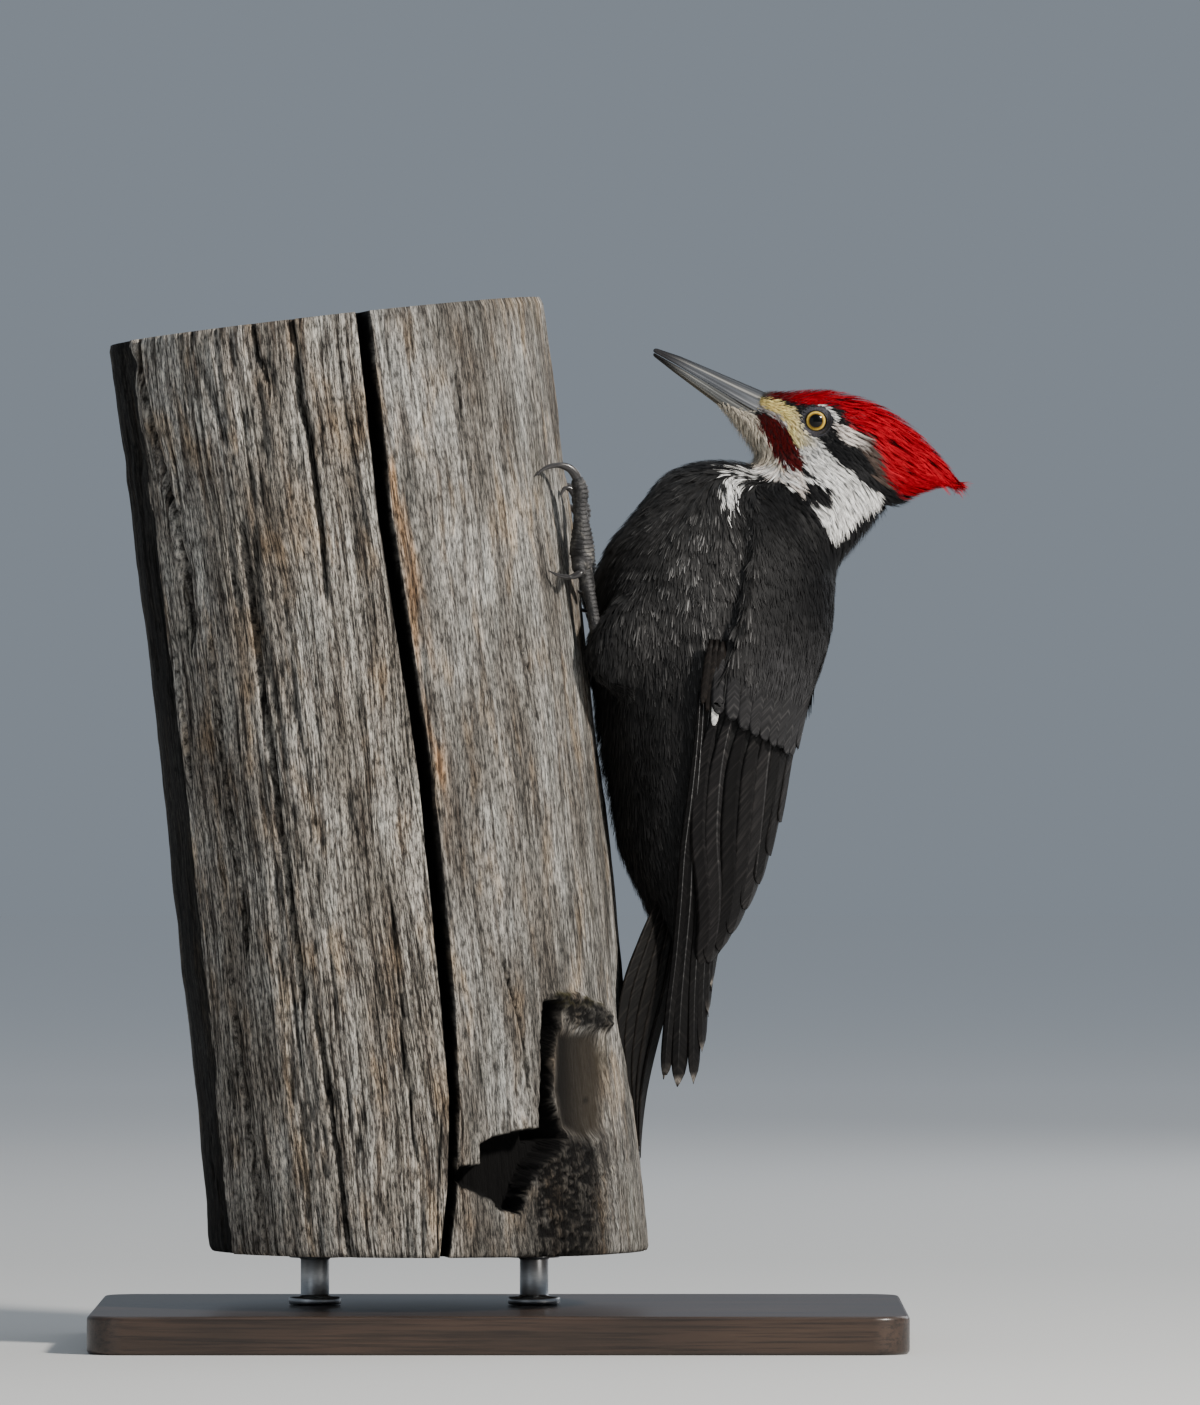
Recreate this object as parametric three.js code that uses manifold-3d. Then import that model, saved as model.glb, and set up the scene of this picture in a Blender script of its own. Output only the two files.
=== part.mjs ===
// A male pileated woodpecker, life size, on a short cut length of dead trunk.
// The trunk stands on two rods in a plain board.
//
// Millimetres, +Z up. The origin is at the centre of the stand's underside.
// The bird faces -X with its belly to the trunk, and its left side faces -Y.
import * as THREE from "three";
import { LoftGeometry } from "three/addons/geometries/LoftGeometry.js";
import { mergeVertices } from "three/addons/utils/BufferGeometryUtils.js";
import Module from "manifold-3d";

const wasm = await Module();
wasm.setup();

// ---------------------------------------------------------------- driving sizes
const gap = 0.35; // kept between any two pieces

const stand = { length: 340, depth: 230, thickness: 16, corner: 16, bevel: 1.6 };
const rod = { radius: 6, spacing: 92, flangeRadius: 11, footHeight: 3.2, capHeight: 2.6 };

const perch = {
  radius: 94.5,
  taper: 1.2,
  bottom: new THREE.Vector3(-31.7, 0, 39),
  middle: new THREE.Vector3(-51.6, 0, 234),
  top: new THREE.Vector3(-75.3, 0, 429),
  topSlope: 0.113, // the upper saw cut is square to the leaning axis, the lower one is level
  shell: 4.5, // height of the ledge where an outer layer of wood has split away
  ledgeAngle: 212,
  shellEnd: 305,
  rings: 6,
  sides: 34,
};
const crack = { width: 5.5, depth: 15, angle: 276.5, sway: 7 };
// An old limb's scar: an upright slot beside the stub, and a hollow below it
const scar = {
  slot: { at: [26, -82, 101], size: [8, 13, 38], turn: -7 },
  hollow: { at: [9, -86, 70], size: [17, 15, 13], turn: 22 },
};

const bodySides = 16;
const crestSides = 10;

// Torso, in level slices: [height, centre X, half depth, half width]
const torsoSlices = [
  [161.7, 73.8, 1.5, 1.5],
  [167.2, 73.9, 7.1, 6.5],
  [175.6, 74.6, 11.8, 11],
  [186.1, 75.6, 16.8, 16.5],
  [198.7, 75.8, 23.2, 22.5],
  [211.3, 76.3, 28.6, 27],
  [228.1, 78.8, 33.0, 31.5],
  [244.9, 80.5, 37.8, 35],
  [261.7, 82.2, 42.6, 38],
  [278.5, 84.7, 47.5, 40.5],
  [295.3, 88.2, 50.8, 42],
  [312.1, 88.6, 53.0, 41.5],
  [322.6, 89.9, 51.9, 40.5],
  [337.3, 92.0, 47.0, 37],
  [349.9, 94.4, 38.2, 31.5],
  [358.3, 93.5, 31.0, 26],
  [364.6, 92.2, 24.3, 20.5],
  [368.8, 92.6, 16.4, 13.5],
  [370.8, 93.0, 7.0, 6.0],
];

// Neck, square to its own axis: [X, Z, half depth, half width]
const neckSlices = [
  [104.5, 329.5, 27.0, 26.5],
  [113.4, 337.3, 30.0, 27.0],
  [121.0, 345.2, 29.4, 26.0],
  [128.5, 352.8, 28.4, 24.5],
  [135.4, 359.8, 27.4, 23.0],
  [142.0, 366.7, 26.0, 21.0],
  [147.5, 372.5, 22.0, 18.5],
];

// The head's own frame: "back" runs from the bill's base to the crest, "up" is square to it.
const headFrame = { x: 115.5, z: 392.7, pitch: 27 };

// Head, along its axis: [back, centre up, half height, half width]
const headSlices = [
  [-8.2, -1.6, 5.6, 5.6],
  [-4.5, -2.9, 9.3, 8.9],
  [0, -4.8, 12.8, 11.6],
  [5, -4.9, 15.9, 13.8],
  [10.5, -4.6, 18.3, 15.9],
  [17, -4.0, 20.1, 17.7],
  [23, -3.4, 21.0, 18.9],
  [30, -3.2, 21.3, 19.6],
  [36, -3.0, 21.0, 19.5],
  [46, -2.5, 18.5, 17.5],
  [54.6, -3.0, 11.5, 12.0],
  [58.5, -3.4, 4.0, 4.5],
];

// Chin and throat under the lower mandible, and crest: [back, top, bottom, half width]
const chinSlices = [
  [-28.5, -6.6, -8.2, 1.4],
  [-22, -5.5, -10.3, 3.6],
  [-17.4, -4.5, -12.3, 5.3],
  [-10, -3.0, -15.8, 7.6],
  [-3, -2.0, -19.6, 9.8],
  [4, 0.0, -24.2, 12.4],
  [12, 0.0, -26.0, 14.0],
];
const crestSlices = [
  [-3.5, 6.2, 0.0, 5.5],
  [3.0, 10.2, -2.0, 10.5],
  [11.3, 15.1, -5.0, 14.6],
  [18, 18.2, -5.0, 16.6],
  [25.2, 20.4, -5.0, 17.4],
  [38.2, 22.4, -10, 17.0],
  [50.4, 21.2, -18.6, 14.0],
  [57.0, 19.7, -20.5, 11.6],
  [64.1, 17.6, -14.5, 8.4],
  [73.2, 13.6, -2.6, 4.8],
  [80.0, 10.0, 3.2, 2.3],
  [85.2, 7.2, 6.2, 0.6],
];
const crestRidge = 0.38; // how much narrower the crest is at its top

// Bill, along the head's axis: [back, top, bottom, half width]
const upperBillSlices = [
  [-56.6, -0.7, -2.1, 1.1],
  [-55.2, -0.2, -2.2, 1.5],
  [-45, 1.3, -2.5, 2.6],
  [-30, 2.3, -3.5, 4.2],
  [-18, 3.1, -4.5, 5.6],
  [-8, 3.9, -5.1, 6.9],
  [2, 4.4, -5.0, 7.6],
];
const lowerBillSlices = [
  [-55.9, -2.5, -3.5, 1.0],
  [-54.6, -2.6, -4.0, 1.4],
  [-45, -2.9, -5.9, 2.4],
  [-30, -3.9, -8.5, 4.0],
  [-18, -4.9, -10.6, 5.4],
  [-8, -5.5, -12.0, 6.6],
  [2, -5.4, -12.2, 7.2],
];

const eye = { back: 17.7, up: 2.6, out: 10.2, radius: 6.0, opening: 5.1 };

// Folded wing, in level slices round the body:
// [height, centre X, half depth, half width, first angle, last angle, thickness]
// with the angles counted from the spine to the belly
const wingSlices = [
  [365.0, 90.7, 22.0, 21.0, 42, 62, 2.2],
  [360.8, 91.6, 28.5, 27.0, 32, 66, 3.6],
  [354.1, 93.2, 35.5, 33.0, 25, 70, 4.6],
  [343.6, 93.2, 43.3, 39.5, 20, 73, 5.0],
  [328.9, 90.7, 51.5, 44.2, 17, 75, 5.4],
  [312.1, 88.4, 55.4, 46.6, 15, 77, 5.6],
  [295.3, 87.6, 54.4, 47.5, 13, 81, 5.6],
  [278.5, 85.3, 50.5, 46.2, 11, 84, 5.5],
  [261.7, 82.9, 46.8, 43.2, 9, 83, 5.2],
  [244.9, 80.7, 44.4, 40.0, 7, 80, 4.8],
  [228.1, 78.6, 42.9, 36.6, 6, 77, 4.3],
  [211.3, 76.1, 41.0, 33.0, 6, 74, 3.8],
  [194.5, 75.6, 36.6, 28.6, 8, 71, 3.3],
  [177.7, 75.2, 29.0, 23.6, 12, 67, 2.7],
  [167.2, 74.4, 23.6, 20.0, 18, 62, 2.1],
  [158.3, 73.9, 18.6, 17.0, 28, 54, 1.2],
];
const wingSteps = 4;

// Primaries: the long hand feathers, a panel under the folded wing that shows along its lower edge,
// in the wing's own terms, then three finger tips: [X, Y, Z] of each root and tip, and its width
const primarySlices = [
  [276, 85.3, 46.6, 43.2, 62, 91, 1.5],
  [240, 80.1, 41.2, 36.8, 46, 89, 1.5],
  [207, 76.0, 37.0, 29.8, 34, 86.7, 1.4],
  [186, 75.4, 30.2, 23.8, 27, 88, 1.4],
  [165, 74.3, 20.4, 17.6, 24, 88.6, 1.4],
  [152, 73.0, 19.4, 17.0, 21, 88.5, 1.3],
  [141, 71.8, 19.0, 16.8, 17, 89, 1.1],
];
const primaryFingers = [
  { root: [73.6, 16.2, 156], tip: [69.0, 14.6, 112.6], width: 7.4 },
  { root: [78.6, 14.9, 158], tip: [74.3, 13.8, 110.5], width: 8.2 },
  { root: [85.6, 11.3, 158], tip: [82.7, 12.0, 111.3], width: 8.6 },
];
const fingerThickness = 1.0;

// Tail: pointed stiff feathers, the middle pair longest
const tail = {
  ridge: [
    [77.4, 196],
    [77.6, 175],
    [75.2, 157],
    [71.2, 140],
    [66.6, 123],
    [62.4, 106],
    [60.0, 90],
    [59.2, 80.6],
  ],
  archDepth: [8, 15, 18, 18, 13.5, 7.5, 3.5, 2],
  halfWidth: [15, 20, 24, 25.5, 22, 16, 9, 6],
  shorter: [0, 5, 12, 22, 36],
  featherWidth: 15,
  thickness: 1.2,
};

// Legs: points are [X, Y, Z, radius], for the left side, Y is mirrored for the right
const thighSlices = [
  [68, 25, 297, 23, 14],
  [58, 27.5, 296, 22.5, 13.5],
  [48, 30, 293, 19.5, 11.5],
  [41, 32, 291, 14.5, 8.8],
  [36.6, 33, 290, 8.5, 5.6],
  [34.8, 33.2, 289.5, 2.5, 2.2],
];
const tarsusPath = [
  [42, 33.2, 286, 2.7],
  [40.6, 33.4, 297, 2.3],
  [38.4, 33.6, 310, 2.2],
  [35.6, 34.0, 323, 2.7],
];
const toePaths = {
  hallux: [
    [35.4, 32, 326, 3.0],
    [36.8, 26.6, 320.4, 2.5],
    [37.6, 22.4, 316.6, 2.1],
  ],
  inner: [
    [34.6, 32, 327.4, 3.2],
    [33.6, 28.6, 337, 2.8],
    [33.2, 26, 345, 2.4],
    [33.4, 24.4, 351, 2.6],
    [32.0, 23.6, 354.4, 2.1],
  ],
  middle: [
    [35.4, 34.5, 323.5, 3.6],
    [33.6, 35.5, 332, 4.8],
    [34.0, 36.5, 339.5, 3.9],
    [34.0, 37.6, 345.7, 3.2],
    [33.6, 38.4, 350.7, 2.7],
    [33.9, 39.2, 357, 3.3],
    [32.6, 40, 361.4, 2.6],
  ],
  outer: [
    [34.2, 36.5, 327.6, 3.8],
    [33.4, 40.6, 326.8, 3.2],
    [33.2, 44, 325.3, 2.8],
    [33.8, 46.4, 323.6, 2.2],
  ],
};
const clawPaths = {
  hallux: [
    [37.4, 21.2, 315.6, 1.4],
    [35.8, 19.2, 314.6, 1.15],
    [33.8, 18.0, 315, 0.8],
    [32.5, 17.6, 316, 0.25],
  ],
  inner: [
    [31.6, 23.4, 355.6, 1.5],
    [29.6, 23.6, 358.2, 1.35],
    [27.4, 24.4, 358.6, 1.0],
    [26.1, 25.4, 356.8, 0.6],
    [25.7, 26.2, 354.8, 0.25],
  ],
  middle: [
    [32.4, 40.4, 362.6, 1.9],
    [29.6, 41.4, 366.6, 1.75],
    [25.2, 42.6, 367.9, 1.5],
    [20.4, 44.0, 367.2, 1.1],
    [17.0, 45.6, 365.3, 0.6],
    [15.2, 46.6, 363.4, 0.25],
  ],
  outer: [
    [34.0, 46.8, 323.2, 1.5],
    [30.4, 47.4, 321.4, 1.25],
    [25.4, 47.8, 321.8, 0.85],
    [20.4, 48.4, 324.0, 0.25],
  ],
};
const toeSides = 6;
const clawSides = 5;
const rightFoot = { drop: 7, spread: 1.5 }; // the right foot grips lower than the left

// ---------------------------------------------------------------- helpers
// A closed geometry as a manifold-3d solid, turned to face outwards.
function solid(geometry) {
  const bare = new THREE.BufferGeometry();
  bare.setAttribute("position", geometry.attributes.position);
  bare.setIndex(geometry.index);
  const merged = mergeVertices(bare, 1e-4);
  const vertProperties = merged.attributes.position.array;
  const triVerts = new Uint32Array(merged.index.array);
  const made = new wasm.Manifold(new wasm.Mesh({ numProp: 3, vertProperties, triVerts }));
  if (made.volume() > 0) return made;
  triVerts.reverse();
  return new wasm.Manifold(new wasm.Mesh({ numProp: 3, vertProperties, triVerts }));
}

function largest(made) {
  return made.decompose().sort((a, b) => b.volume() - a.volume())[0];
}

function join(...solids) {
  return solids.reduce((all, one) => all.add(one));
}

// The direction a ring of points turns about.
function turning(ring) {
  const total = new THREE.Vector3();
  ring.forEach((point, i) => {
    const arm = point.clone().sub(ring[0]);
    total.add(arm.cross(ring[(i + 1) % ring.length].clone().sub(ring[0])));
  });
  return total;
}

// A closed skin over rings of points. Rings that turn the other way round are reversed.
function loft(rings) {
  const middle = Math.floor((rings.length - 1) / 2);
  const ahead = rings[middle + 1][0].clone().sub(rings[middle][0]);
  const sections = turning(rings[middle]).dot(ahead) < 0 ? rings.map((ring) => [...ring].reverse()) : rings;
  return solid(new LoftGeometry(sections, { capStart: true, capEnd: true }));
}

// An oval ring round `centre`, in the plane of the directions `up` and `side`.
// A ridge narrows its upper half.
function oval(centre, up, side, halfUp, halfSide, sides, ridge = 0) {
  const points = [];
  for (let i = 0; i < sides; i++) {
    const angle = (i / sides) * 2 * Math.PI;
    const narrow = 1 - ridge * Math.max(0, Math.cos(angle));
    points.push(
      centre
        .clone()
        .addScaledVector(up, halfUp * Math.cos(angle))
        .addScaledVector(side, halfSide * narrow * Math.sin(angle)),
    );
  }
  return points;
}

// The small ring that rounds off a tube's end; a negative radius is its start.
function endRing(centre, ahead, up, out, radius, sides) {
  const size = 0.6 * Math.abs(radius);
  return oval(centre.clone().addScaledVector(ahead, 0.5 * radius), up, out, size, size, sides);
}

// A tube through [X, Y, Z, radius] points, with round ends.
function tube(points, sides, side = 1, steps = 1) {
  const line = new THREE.CatmullRomCurve3(points.map(([x, y, z]) => new THREE.Vector3(x, side * y, z)));
  const count = (points.length - 1) * steps;
  const across = new THREE.Vector3(0, 1, 0);
  const rings = [];
  for (let i = 0; i <= count; i++) {
    const t = i / count;
    const place = t * (points.length - 1);
    const first = Math.min(Math.floor(place), points.length - 2);
    const radius = THREE.MathUtils.lerp(points[first][3], points[first + 1][3], place - first);
    const ahead = line.getTangent(t);
    const up = new THREE.Vector3().crossVectors(ahead, across).normalize();
    const out = new THREE.Vector3().crossVectors(up, ahead).normalize();
    const centre = line.getPoint(t);
    if (i === 0) rings.push(endRing(centre, ahead, up, out, -radius, sides));
    rings.push(oval(centre, up, out, radius, radius, sides));
    if (i === count) rings.push(endRing(centre, ahead, up, out, radius, sides));
  }
  return loft(rings);
}

function grownTube(points, sides, side) {
  return tube(
    points.map(([x, y, z, radius]) => [x, y, z, radius + gap]),
    sides,
    side,
  );
}

const headBack = new THREE.Vector3(1, 0, 0).applyAxisAngle(
  new THREE.Vector3(0, 1, 0),
  THREE.MathUtils.degToRad(headFrame.pitch),
);
const headUp = new THREE.Vector3(0, 0, 1).applyAxisAngle(
  new THREE.Vector3(0, 1, 0),
  THREE.MathUtils.degToRad(headFrame.pitch),
);
const levelY = new THREE.Vector3(0, 1, 0);

function inHead(back, up, out = 0) {
  const origin = new THREE.Vector3(headFrame.x, out, headFrame.z);
  return origin.addScaledVector(headBack, back).addScaledVector(headUp, up);
}

// ---------------------------------------------------------------- stand and perch
function makeStandBase() {
  const { length, depth, thickness, corner, bevel } = stand;
  const x = length / 2 - bevel;
  const y = depth / 2 - bevel;
  const outline = new THREE.Shape();
  outline.moveTo(-x + corner, -y);
  outline.lineTo(x - corner, -y);
  outline.absarc(x - corner, -y + corner, corner, -Math.PI / 2, 0);
  outline.absarc(x - corner, y - corner, corner, 0, Math.PI / 2);
  outline.absarc(-x + corner, y - corner, corner, Math.PI / 2, Math.PI);
  outline.absarc(-x + corner, -y + corner, corner, Math.PI, 1.5 * Math.PI);
  const board = new THREE.ExtrudeGeometry(outline, {
    depth: thickness - 2 * bevel,
    bevelThickness: bevel,
    bevelSize: bevel,
    bevelSegments: 1,
    curveSegments: 3,
  });
  return solid(board.translate(0, 0, bevel));
}

function makeRod(side) {
  const { radius, spacing, flangeRadius, footHeight, capHeight } = rod;
  const foot = stand.thickness + gap;
  const cap = perch.bottom.z - gap;
  const profile = [
    [0, foot],
    [flangeRadius, foot],
    [flangeRadius, foot + footHeight],
    [radius, foot + footHeight],
    [radius, cap - capHeight],
    [flangeRadius, cap - capHeight],
    [flangeRadius, cap],
    [0, cap],
  ].map(([r, z]) => new THREE.Vector2(r, z));
  const turned = new THREE.LatheGeometry(profile, 12).rotateX(Math.PI / 2);
  return solid(turned.translate(perch.bottom.x + (side * spacing) / 2, 0, 0));
}

const perchAxis = new THREE.QuadraticBezierCurve3(
  perch.bottom,
  perch.middle
    .clone()
    .multiplyScalar(2)
    .addScaledVector(perch.bottom, -0.5)
    .addScaledVector(perch.top, -0.5),
  perch.top,
);

// The trunk's radius round its section: a split-away layer leaves a ledge on the far left.
function perchRadius(angle) {
  const { radius, shell, ledgeAngle, shellEnd } = perch;
  if (angle < ledgeAngle || angle > shellEnd) return radius;
  const rise = Math.min(1, (angle - ledgeAngle) / 4);
  const fade = 0.5 + 0.5 * Math.cos((Math.PI * (angle - ledgeAngle)) / (shellEnd - ledgeAngle));
  return radius + shell * rise * fade;
}

function perchPoint(share, angle, grow = 0) {
  const centre = perchAxis.getPoint(share);
  const turn = THREE.MathUtils.degToRad(angle);
  const radius = perchRadius(angle) - perch.taper * share + grow;
  const x = radius * Math.cos(turn);
  return new THREE.Vector3(centre.x + x, radius * Math.sin(turn), centre.z + perch.topSlope * share * x);
}

function perchSolid(grow = 0) {
  const rings = [];
  for (let i = 0; i <= perch.rings; i++) {
    const ring = [];
    for (let j = 0; j < perch.sides; j++) {
      ring.push(perchPoint(i / perch.rings, (j / perch.sides) * 360, grow));
    }
    rings.push(ring);
  }
  return loft(rings);
}

// A long V cut that wanders down the trunk.
function makeCrack() {
  const rings = [];
  const steps = 8;
  for (let i = 0; i <= steps; i++) {
    const share = THREE.MathUtils.lerp(-0.03, 1.03, i / steps);
    const angle = crack.angle + crack.sway * Math.sin(Math.PI * share);
    const half = THREE.MathUtils.radToDeg(crack.width / 2 / perch.radius);
    rings.push([
      perchPoint(share, angle - 1.3 * half, 2),
      perchPoint(share, angle + 1.3 * half, 2),
      perchPoint(share, angle + 0.25 * half, -crack.depth),
      perchPoint(share, angle - 0.25 * half, -crack.depth),
    ]);
  }
  return loft(rings);
}

function scarSolid({ at, size, turn }) {
  const hollow = new THREE.SphereGeometry(1, 10, 6).scale(...size);
  return solid(hollow.rotateY(THREE.MathUtils.degToRad(turn)).translate(...at));
}

function makePerch() {
  const split = perchSolid().subtract(makeCrack());
  return largest(split.subtract(scarSolid(scar.slot)).subtract(scarSolid(scar.hollow)));
}

// ---------------------------------------------------------------- the body as one solid
function torsoSolid(grow) {
  const alongX = new THREE.Vector3(1, 0, 0);
  const count = torsoSlices.length - 1;
  return loft(
    torsoSlices.map(([z, x, depth, width], i) => {
      const height = z + (i === 0 ? -grow : i === count ? grow : 0);
      return oval(new THREE.Vector3(x, 0, height), alongX, levelY, depth + grow, width + grow, bodySides);
    }),
  );
}

function neckSolid(grow) {
  const [from, to] = [neckSlices[0], neckSlices[neckSlices.length - 1]];
  const ahead = new THREE.Vector3(to[0] - from[0], 0, to[1] - from[1]).normalize();
  const nape = new THREE.Vector3(ahead.z, 0, -ahead.x);
  return loft(
    neckSlices.map(([x, z, depth, width]) =>
      oval(new THREE.Vector3(x, 0, z), nape, levelY, depth + grow, width + grow, bodySides),
    ),
  );
}

function headSolid(grow) {
  const count = headSlices.length - 1;
  return loft(
    headSlices.map(([back, up, height, width], i) => {
      const place = back + (i === 0 ? -grow : i === count ? grow : 0);
      return oval(inHead(place, up), headUp, levelY, height + grow, width + grow, bodySides);
    }),
  );
}

function slabSolid(slices, grow, ridge) {
  return loft(
    slices.map(([back, top, bottom, width]) => {
      const centre = inHead(back, (top + bottom) / 2);
      return oval(centre, headUp, levelY, (top - bottom) / 2 + grow, width + grow, crestSides, ridge);
    }),
  );
}

function fleshSolid(grow) {
  return join(
    torsoSolid(grow),
    neckSolid(grow),
    headSolid(grow),
    slabSolid(chinSlices, grow, 0),
    slabSolid(crestSlices, grow, crestRidge),
  );
}

// The half of space on the far side of a plane that holds `from` and `to` and the Y direction.
function beyond(from, to, offset) {
  const along = to.clone().sub(from).normalize();
  const normal = new THREE.Vector3().crossVectors(levelY, along);
  const size = 600;
  const box = new THREE.BoxGeometry(size, size, size);
  const frame = new THREE.Matrix4().makeBasis(along, levelY, normal.clone().negate());
  const centre = from
    .clone()
    .add(to)
    .multiplyScalar(0.5)
    .addScaledVector(normal, -size / 2 - offset);
  return solid(box.applyMatrix4(frame.setPosition(centre)));
}

// Parts the whole body into torso, neck, head and crest with thin flat cuts.
function partBody(whole) {
  const half = gap / 2;
  const shoulder = [new THREE.Vector3(106.5, 0, 370.5), new THREE.Vector3(144.5, 0, 326.5)];
  const collar = [new THREE.Vector3(104, 0, 374), new THREE.Vector3(167.5, 0, 347)];
  const brow = [inHead(-9, 4.2), inHead(66, -7)];
  const aboveShoulder = beyond(...shoulder, half);
  const aboveCollar = beyond(...collar, half);
  const aboveBrow = beyond(...brow, half);
  return {
    torso: largest(whole.subtract(beyond(...shoulder, -half))),
    neck: largest(whole.intersect(aboveShoulder).subtract(beyond(...collar, -half))),
    head: largest(whole.intersect(aboveCollar).subtract(beyond(...brow, -half))),
    crest: largest(whole.intersect(aboveCollar).intersect(aboveBrow)),
  };
}

// ---------------------------------------------------------------- eyes and bill
function eyeBall(side, grow) {
  const ball = new THREE.SphereGeometry(eye.radius + grow, 10, 7);
  return solid(ball.translate(...inHead(eye.back, eye.up, side * eye.out)));
}

// The open lids: a short round way out from the eyeball.
function eyeOpening(side) {
  const way = new THREE.CylinderGeometry(eye.opening, eye.opening, 12, 14);
  return solid(way.translate(...inHead(eye.back, eye.up, side * (eye.out + 8))));
}

// One bill section: a ridge on the outer side, widest near the cutting edge.
function billRing([back, top, bottom, width], upper) {
  const ridge = upper ? top : bottom;
  const edge = upper ? bottom : top;
  const shape = [
    [0, 1],
    [0.34, 0.9],
    [0.72, 0.55],
    [1, 0.22],
    [0.94, 0],
    [0.4, 0.02],
  ];
  const right = shape.map(([out, share]) => inHead(back, edge + share * (ridge - edge), out * width));
  const left = shape
    .slice(1)
    .reverse()
    .map(([out, share]) => inHead(back, edge + share * (ridge - edge), -out * width));
  return [...right, ...left];
}

function makeBill(slices, upper, flesh) {
  return largest(loft(slices.map((slice) => billRing(slice, upper))).subtract(flesh));
}

// ---------------------------------------------------------------- wings and tail
function wingRing([z, x, depth, width, first, last, thickness], side, grow) {
  const outer = [];
  const inner = [];
  const margin = THREE.MathUtils.radToDeg(grow / depth) * 1.6;
  for (let i = 0; i <= wingSteps; i++) {
    const share = i / wingSteps;
    const angle = THREE.MathUtils.degToRad(THREE.MathUtils.lerp(first - margin, last + margin, share));
    const thin = Math.max(0.6, thickness * (0.3 + 0.7 * Math.sin(Math.PI * share)));
    const point = (inset) =>
      new THREE.Vector3(x + (depth - inset) * Math.cos(angle), side * (width - inset) * Math.sin(angle), z);
    outer.push(point(-grow));
    inner.unshift(point(thin + grow));
  }
  return [...outer, ...inner];
}

function wingLoft(slices, side, grow) {
  const count = slices.length - 1;
  return loft(
    slices.map(([z, ...rest], i) => {
      const longer = i === 0 ? grow : i === count ? -grow : 0;
      return wingRing([z + longer, ...rest], side, grow);
    }),
  );
}

// One long feather blade from its root to its tip, flat against the body's side.
function bladeSolid({ root, tip, width }, side, grow) {
  const line = new THREE.LineCurve3(
    new THREE.Vector3(root[0], side * root[1], root[2]),
    new THREE.Vector3(tip[0], side * tip[1], tip[2] - 1.5 * grow),
  );
  const facing = new THREE.Vector3(0.5, side, 0).normalize();
  const ahead = line.getTangent(0);
  const across = new THREE.Vector3().crossVectors(ahead, facing).normalize();
  const out = new THREE.Vector3().crossVectors(across, ahead).normalize();
  const outline = [
    [0, 0.9],
    [0.45, 1],
    [0.8, 0.8],
    [0.95, 0.38],
    [1, 0.1],
  ];
  const thick = fingerThickness / 2 + 1.2 * grow;
  return loft(
    outline.map(([share, wide]) =>
      oval(line.getPoint(share), out, across, thick, (wide * width) / 2 + 1.2 * grow, 4),
    ),
  );
}

function primariesSolid(side, grow) {
  const panel = wingLoft(primarySlices, side, grow);
  return join(panel, ...primaryFingers.map((finger) => bladeSolid(finger, side, grow)));
}

function without(made, rooms) {
  return largest(rooms.reduce((left, room) => left.subtract(room), made));
}

function tailPoint(share, across) {
  const { ridge, archDepth, halfWidth } = tail;
  const place = share * (ridge.length - 1);
  const first = Math.min(Math.floor(place), ridge.length - 2);
  const part = place - first;
  const pick = (list) => THREE.MathUtils.lerp(list[first], list[first + 1], part);
  const x = THREE.MathUtils.lerp(ridge[first][0], ridge[first + 1][0], part);
  const z = THREE.MathUtils.lerp(ridge[first][1], ridge[first + 1][1], part);
  const arch = pick(archDepth) * Math.abs(across) ** 1.35;
  return new THREE.Vector3(x - arch, across * pick(halfWidth), z);
}

// One tail feather: a pointed strip laid on the arched tail surface.
function rectrix(side, order) {
  const { ridge, shorter, featherWidth, thickness } = tail;
  const length = ridge[0][1] - ridge[ridge.length - 1][1];
  const end = 1 - shorter[order] / length;
  const middle = (order + 0.42) / shorter.length;
  const outline = [0.6, 1, 0.85, 0.08];
  const section = [[-1, 0.3], [0, 1], [1, 0.3], [0, -0.3]];
  const rings = outline.map((wide, i) => {
    const share = (i / (outline.length - 1)) * end;
    const half = (wide * featherWidth) / 2 / 25;
    const lift = 0.35 * (shorter.length - order);
    const ring = [];
    for (const [out, thick] of section) {
      const point = tailPoint(share, Math.min(1.05, middle + out * half));
      point.y *= side;
      ring.push(point.add(new THREE.Vector3(lift + thick * thickness * 0.6, 0, 0)));
    }
    return ring;
  });
  return loft(rings);
}

function tailSolid() {
  return join(...[-1, 1].flatMap((side) => tail.shorter.map((_, order) => rectrix(side, order))));
}

// ---------------------------------------------------------------- legs
function lowered(points, side) {
  const { drop, spread } = rightFoot;
  if (side < 0) return points;
  return points.map(([x, y, z, ...rest]) => [x + 0.11 * drop, y + spread, z - drop, ...rest]);
}

function thighSolid(side, grow) {
  const back = new THREE.Vector3(0, 0, 1);
  return loft(
    lowered(thighSlices, side).map(([x, y, z, height, width]) =>
      oval(new THREE.Vector3(x, side * y, z), back, levelY, height + grow, width + grow, 12),
    ),
  );
}

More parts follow.
